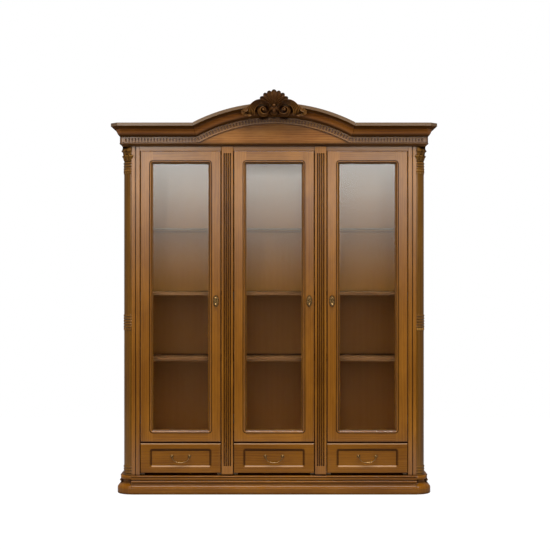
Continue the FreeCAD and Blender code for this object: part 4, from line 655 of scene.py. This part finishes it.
# The scrolls: angles run from the shoulder, over the top and round the eye
SCROLL_X, SCROLL_Z, SCROLL_Y, EYE_RADIUS = 0.058, 2.108, -0.2215, 0.036
GROWTH_OUT, GROWTH_IN = 0.0049, 0.00262
# For each strand, the angles where it starts and ends and how far it stands back
STRANDS = ((197, -400, 0), (199, -40, 0.0015), (202, -30, 0.003), (206, 0, 0.0042),
           (212, 30, 0.0052))
STRAND_STEPS, STRAND_DEPTH, STRAND_OVERLAP = 60, 0.0165, 1.02
START_STEPS, END_STEPS, BLUNT, EYE_SETBACK = 5, 12, 0.004, 0.0018
BAND_AT_EYE, BAND_GROWTH, BAND_FLARE, BAND_LOSS = 0.0128, 0.0172, 0.014, 0.004
GROWN_AT, FLARE_OVER, LOSS_OVER, MERGE_OVER = 110, 80, 360, 40
SHARED, GAINED_ALONE = 10, 7.6
# For each leaf at a scroll's end, its line as the front shows it, its half width and thickness
END_LEAVES = (
    (((0.118, 2.104), (0.136, 2.082), (0.156, 2.080), (0.166, 2.088),
      (0.173, 2.094), (0.173, 2.103), (0.164, 2.105)), 0.0105, 0.0120),
    (((0.112, 2.126), (0.128, 2.128), (0.140, 2.122), (0.152, 2.108),
      (0.158, 2.101), (0.166, 2.109), (0.158, 2.115)), 0.0105, 0.0120),
    (((0.100, 2.088), (0.112, 2.092), (0.124, 2.086), (0.134, 2.078),
      (0.138, 2.077), (0.141, 2.081), (0.138, 2.084)), 0.0080, 0.0095))


def scroll_radius(angle):
    return EYE_RADIUS * math.exp((GROWTH_OUT if angle > 0 else GROWTH_IN) * angle)


def band(angle):
    """The width of all the strands together."""
    return (BAND_AT_EYE + BAND_GROWTH * min(max(angle / GROWN_AT, 0), 1)
            + BAND_FLARE * max((angle - GROWN_AT) / FLARE_OVER, 0)
            - BAND_LOSS * min(max(-angle / LOSS_OVER, 0), 1))


def strand_form(sign, strand, start, end, height):
    """One strand of a scroll. The first goes on alone round the eye and widens there."""
    path, widths, depths = [], [], []
    share = (strand + 0.5) / len(STRANDS)
    for i in range(STRAND_STEPS):
        angle = start - (start - end) * i / (STRAND_STEPS - 1)
        whole = band(angle)
        tail = rounded_end(1 - min(i / START_STEPS, 1), BLUNT)
        if strand:
            tail *= rounded_end(1 - min((STRAND_STEPS - 1 - i) / END_STEPS, 1), BLUNT)
        alone = not strand and angle <= 0
        left = math.exp(angle / MERGE_OVER) if alone else 1
        radius = scroll_radius(angle) - whole * (0.5 - (0.5 - share) * left)
        turn = math.radians(angle)
        path.append(Vector((sign * (SCROLL_X - radius * math.cos(turn)),
                            SCROLL_Y + height * 0.6 - (EYE_SETBACK if angle < 0 and alone else 0),
                            SCROLL_Z + radius * math.sin(turn))))
        size = whole / (SHARED - GAINED_ALONE * (1 - left))
        widths.append(max(size * STRAND_OVERLAP * tail, FINEST))
        depths.append(max(STRAND_DEPTH * tail, FINEST))
    return swept(path, widths, depths, front=FORWARD, sides=10)


for sign in (-1, 1):
    for strand, (start, end, height) in enumerate(STRANDS):
        lay_in(crest, strand_form(sign, strand, start, end, height), Matrix())
    facing = laid_flat(sign * SCROLL_X, SCROLL_Z)
    lay_in(crest, turned([(0, 0.2390), (0.003, 0.2386), (0.006, 0.2368), (0.0082, 0.2335),
                          (0.0088, 0.2290), (0.0095, 0.2210)], 24), facing)
    lay_in(crest, turned([(0, 0.2205), (0.031, 0.2205), (0.0345, 0.2165), (0.0345, 0.1815),
                          (0, 0.1815)], 40), facing)
    for points, widest, thick in END_LEAVES:
        line = bezier(*((sign * x, -0.2182 - 0.0095 * (i > 2), z)
                        for i, (x, z) in enumerate(points)), count=12)
        lay_in(crest, leaf(line, widest, thick, front=FORWARD, lobes=3.5, foot=0.6), Matrix())
    side_line = bezier((sign * 0.002, -0.226, 2.128), (sign * 0.012, -0.232, 2.124),
                       (sign * 0.018, -0.232, 2.112), (sign * 0.021, -0.228, 2.100), count=10)
    lay_in(crest, leaf(side_line, 0.0062, 0.0080, front=FORWARD, lobes=2.0, foot=0.5), Matrix())
middle_line = bezier((0, -0.224, 2.132), (0, -0.234, 2.120), (0, -0.234, 2.100),
                     (0, -0.226, 2.085), count=12)
lay_in(crest, leaf(middle_line, 0.0085, 0.0095, front=FORWARD, foot=0.5), Matrix())
lay_in(crest, turned([(0, 0.2395), (0.004, 0.2388), (0.0075, 0.2360), (0.0090, 0.2310),
                      (0.0090, 0.2100)], 20), laid_flat(0, 2.130))
lay_in(crest, turned([(0, 0.2180), (0.022, 0.2180), (0.024, 0.2150), (0.024, 0.1815),
                      (0, 0.1815)], 32), laid_flat(0, 2.106))
set_piece("crest_shell_and_scrolls", crest, "cabinet", "dark_carving",
          carved_finish("crest_carving_wood", rgb(172, 118, 50), rgb(84, 50, 16),
                        rgb(38, 18, 8), 0.015, 0.985), "crest_carving")


# Shelves: one of clear glass with polished edges over two of veneered board in each bay, each on
# four brass pins.
def clear_glass(name, tint):
    """Clear glass that lets lamp light through to what stands behind it."""
    finish, tree = new_finish(name)
    shader = add(tree, "ShaderNodeBsdfPrincipled", None, {
        "Base Color": tint, "Roughness": 0.0, "IOR": 1.45, "Transmission Weight": 1.0})
    through = add(tree, "ShaderNodeBsdfTransparent", None, {"Color": tint})
    path = add(tree, "ShaderNodeLightPath")
    to_surface(tree, add(tree, "ShaderNodeMixShader", None, {
        0: path.outputs["Is Shadow Ray"], 1: shader.outputs[0], 2: through.outputs[0]}))
    return finish


dress(clear_glass("shelf_glass", rgb(226, 240, 232)), "glass_shelves")
dress(walnut("shelf_walnut", "X", (1.9, 0, 0), deep=rgb(72, 44, 24), warm=rgb(106, 72, 44),
             pale=rgb(122, 86, 54), shine=0.4), "wood_shelves")

# Doors: stiles and rails jointed at the line of the opening and moulded on the inner edge, with
# a pane in the rebate held by wooden beads.
OPENING_Z = (pane_low.z + pane_high.z) / 2
OPENING_HALF_HEIGHT = (pane_high.z - pane_low.z) / 2 - REBATE
QUIRK_LINE = (0.0165, 0.0180, 0.0200, 0.0212, 0.7)
COVE_LINE = (0.0015, 0.0035, 0.0080, 0.0115, 0.5)
BAYS = (("left", -BAY_OFFSET), ("centre", 0.0), ("right", BAY_OFFSET))


def out_from(tree, off, z, half_width, middle, half_height):
    """How far a spot on a front lies outside its opening or sunk panel."""
    level = sum_of(tree, sum_of(tree, z, middle, "SUBTRACT"), 0.0, "ABSOLUTE")
    corner = add(tree, "ShaderNodeCombineXYZ", None, {
        "X": sum_of(tree, sum_of(tree, off, half_width, "SUBTRACT"), 0.0, "MAXIMUM"),
        "Z": sum_of(tree, sum_of(tree, level, half_height, "SUBTRACT"), 0.0, "MAXIMUM")})
    return add(tree, "ShaderNodeVectorMath", {"operation": "LENGTH"},
               {0: corner.outputs[0]}).outputs["Value"]


def line_at(tree, out, start, full, fade, end, amount):
    """A line of glaze between two distances from an opening."""
    return sum_of(tree, between(tree, out, start, full, 0, amount),
                  between(tree, out, fade, end, 1, 0), "MULTIPLY")


def door_glaze_and_shade_lines(tree, off, z):
    """Glaze and painted shade in the quirk and the cove of a door's inner moulding."""
    out = out_from(tree, off, z, RAIL_HALF, OPENING_Z, OPENING_HALF_HEIGHT)
    return sum_of(tree, line_at(tree, out, *QUIRK_LINE), line_at(tree, out, *COVE_LINE),
                  "MAXIMUM")


# The doors' wood gets lines of glaze and painted shade round the opening, laid by distance from it
door_walnut_glaze_and_shade = walnut("door_walnut_glaze_and_shade", "door", (0.7, 0, 0), reach=0.008, amount=1.0,
                     full_at=0.74, open_from=0.98, frame_lines=door_glaze_and_shade_lines)
pane_glass = clear_glass("pane_glass", rgb(250, 252, 250))
for bay, x in BAYS:
    dress(door_walnut_glaze_and_shade, f"door_{bay}_frame")
    dress(pane_glass, f"door_{bay}_glass")

# Drawers: a moulded front with a sunk panel, with a pale painted highlight where its mouldings
# face up and glaze and painted shade on the rest of the panel's moulding, over a box of paler wood
# on wooden runners.
front_low, front_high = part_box("drawer_centre_front")
SIDE_MARGIN, MARGIN = 0.065, 0.042
PANEL_HALF_WIDTH, PANEL_Z = front_high.x - SIDE_MARGIN, (front_low.z + front_high.z) / 2
PANEL_HALF_HEIGHT = (front_high.z - front_low.z) / 2 - MARGIN
PANEL_FOOT = PANEL_Z - PANEL_HALF_HEIGHT
PANEL_LINE = (0.0005, 0.0025, 0.0100, 0.0150, 0.75)
LIT_FOOT_HALF, LIT_FOOT_SHARE = 0.0015, 0.05


def drawer_glaze_and_shade_lines(tree, off, z):
    """Glaze and painted shade on the moulding round a drawer's sunk panel, but not along its foot,
    which faces up into the lamp's light.
    """
    out = out_from(tree, off, z, PANEL_HALF_WIDTH, PANEL_Z, PANEL_HALF_HEIGHT)
    kept = between(tree, z, PANEL_FOOT - LIT_FOOT_HALF, PANEL_FOOT + LIT_FOOT_HALF, LIT_FOOT_SHARE, 1)
    return sum_of(tree, line_at(tree, out, *PANEL_LINE), kept, "MULTIPLY")


# The drawer fronts get a pale painted highlight on up-facing mouldings and lines of painted shade
# round the sunk panel
drawer_walnut_painted_light_and_shade = walnut("drawer_walnut_painted_light_and_shade", "X", (1.2, 0, 0), reach=0.010, amount=0.9, painted_highlight=0.5,
                       frame_lines=drawer_glaze_and_shade_lines, **PLINTH_WOOD)
box_wood = walnut("drawer_box_wood", "Y", (2.7, 0, 0), deep=rgb(150, 106, 60),
                  warm=rgb(190, 148, 98), pale=rgb(208, 172, 124))
dress(walnut("runner_wood", "Y", (0.8, 0, 0), deep=rgb(150, 108, 62), warm=rgb(186, 146, 96),
             pale=rgb(204, 168, 120)), "drawer_runners")
for bay, x in BAYS:
    dress(drawer_walnut_painted_light_and_shade, f"drawer_{bay}_front")
    dress(box_wood, f"drawer_{bay}_box")

# Metalwork: cast brass drops, bails, posts and pins, browned with age and rubbed bright on the
# high parts, and nickel-plated steel hinges inside the doors.
tarnish, given, out = new_effect(
    "tarnish",
    [("Place", "NodeSocketVector", None), ("Bright", "NodeSocketColor", None),
     ("Dull", "NodeSocketColor", None), ("Reach", "NodeSocketFloat", 0.004),
     ("Spot scale", "NodeSocketFloat", 90.0)],
    [("Colour", "NodeSocketColor"), ("Rough", "NodeSocketFloat"), ("Height", "NodeSocketFloat")])
shelter = add(tarnish, "ShaderNodeAmbientOcclusion", {"samples": 6}, {"Distance": given["Reach"]})
spots = add(tarnish, "ShaderNodeTexNoise", None, {
    "Vector": given["Place"], "Scale": given["Spot scale"], "Detail": 4, "Roughness": 0.6})
dull = sum_of(tarnish, between(tarnish, shelter.outputs["AO"], 0.3, 0.85, 0.9, 0.0),
              between(tarnish, spots.outputs["Fac"], 0.45, 0.7, 0, 0.5), "MAXIMUM")
tarnish.links.new(blend_colours(tarnish, dull, given["Bright"], given["Dull"]), out["Colour"])
tarnish.links.new(between(tarnish, dull, 0, 1, 0.22, 0.5), out["Rough"])
tarnish.links.new(spots.outputs["Fac"], out["Height"])


def metal(name, bright, dull, spot_scale):
    """Metal that is bright on its high parts and dull in its corners."""
    finish, tree = new_finish(name)
    place = add(tree, "ShaderNodeTexCoord").outputs["Object"]
    aged = add(tree, "ShaderNodeGroup", {"node_tree": tarnish}, {
        "Place": place, "Bright": bright, "Dull": dull, "Spot scale": spot_scale})
    relief = add(tree, "ShaderNodeBump", None, {
        "Height": aged.outputs["Height"], "Distance": 0.0002, "Strength": 0.3})
    to_surface(tree, add(tree, "ShaderNodeBsdfPrincipled", None, {
        "Base Color": aged.outputs["Colour"], "Roughness": aged.outputs["Rough"],
        "Metallic": 1.0, "Normal": relief.outputs[0]}))
    return finish


worn_brass = metal("worn_brass", rgb(132, 104, 64), rgb(48, 34, 16), 110.0)
dark_brass = metal("browned_brass", rgb(112, 84, 46), rgb(44, 30, 14), 140.0)
nickel = metal("nickel_steel", rgb(128, 124, 116), rgb(70, 66, 60), 300.0)
dress(metal("antique_brass", rgb(186, 154, 104), rgb(70, 48, 22), 90.0), "shelf_pins")
dress(nickel, "hinge_plates")
for bay, x in BAYS:
    dress(nickel, f"door_{bay}_hinge_cups")
    dress(worn_brass, f"door_{bay}_pull_plate", f"door_{bay}_drop")

# Bails: each hangs between two turned posts on beaded roses; cast with a swelling middle and ends
# that flare out and up past the posts like a swan's neck.
PIVOT_Y, PIVOT_Z = joint_place("bail_centre_swing")[1:]
SUNK_FACE, POST_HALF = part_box("drawer_centre_bail_posts")[1].y, 0.048
THIN, SWELL, SWELL_HALF, END_THIN = 0.0020, 0.0009, 0.022, 0.0006
POST_SWELL, POST_SWELL_AT, POST_SWELL_HALF = 0.0007, 0.047, 0.005
TAPER, TAPER_FROM, TAPER_LENGTH = 0.0008, 0.049, 0.0045
HALF_BAIL = ((0.0400, 0.1715), (0.0420, 0.1940), (0.0470, 0.2050), (0.0490, 0.2080),
             (0.0515, 0.2105), (0.0535, 0.2130))
BAIL_BOTTOM = 0.1712
bail_line = bezier(*((-x, PIVOT_Y, z) for x, z in reversed(HALF_BAIL)),
                   (0, PIVOT_Y, BAIL_BOTTOM), *((x, PIVOT_Y, z) for x, z in HALF_BAIL), count=14)
bail_radii = []
for off in (abs(point.x) for point in bail_line):
    at_post = math.exp(-((off - POST_SWELL_AT) / POST_SWELL_HALF) ** 2)
    bail_radii.append(THIN + SWELL * max(0, 1 - off / SWELL_HALF) + POST_SWELL * at_post
                      - TAPER * max(0, (off - TAPER_FROM) / TAPER_LENGTH))
bail_radii[0] = bail_radii[-1] = END_THIN
for bay, x in BAYS:
    posts = bmesh.new()
    post = turned([(0, 0.0000), (0.0090, 0.0000), (0.0090, 0.0008), (0.0082, 0.0016),
                   (0.0070, 0.0014), (0.0062, 0.0024), (0.0050, 0.0030), (0.0036, 0.0034),
                   (0.0030, 0.0048), (0.0030, 0.0068), (0.0044, 0.0078), (0.0054, 0.0100),
                   (0.0055, 0.0124), (0.0048, 0.0148), (0.0034, 0.0164), (0.0016, 0.0173),
                   (0, 0.0175)], 28)
    lay_in(posts, post, *(Matrix.Translation((0, SUNK_FACE, 0)) @ laid_flat(x + half, PIVOT_Z)
                          for half in (-POST_HALF, POST_HALF)))
    set_piece(f"drawer_{bay}_turned_posts", posts, f"drawer_{bay}", "antique_brass", dark_brass,
              f"drawer_{bay}_bail_posts")
    bail = swept([point + Vector((x, 0, 0)) for point in bail_line], bail_radii, bail_radii,
                 front=FORWARD, sides=14)
    set_piece(f"drawer_{bay}_swan_neck_bail", bail, f"bail_{bay}", "antique_brass", worn_brass,
              f"drawer_{bay}_bail")
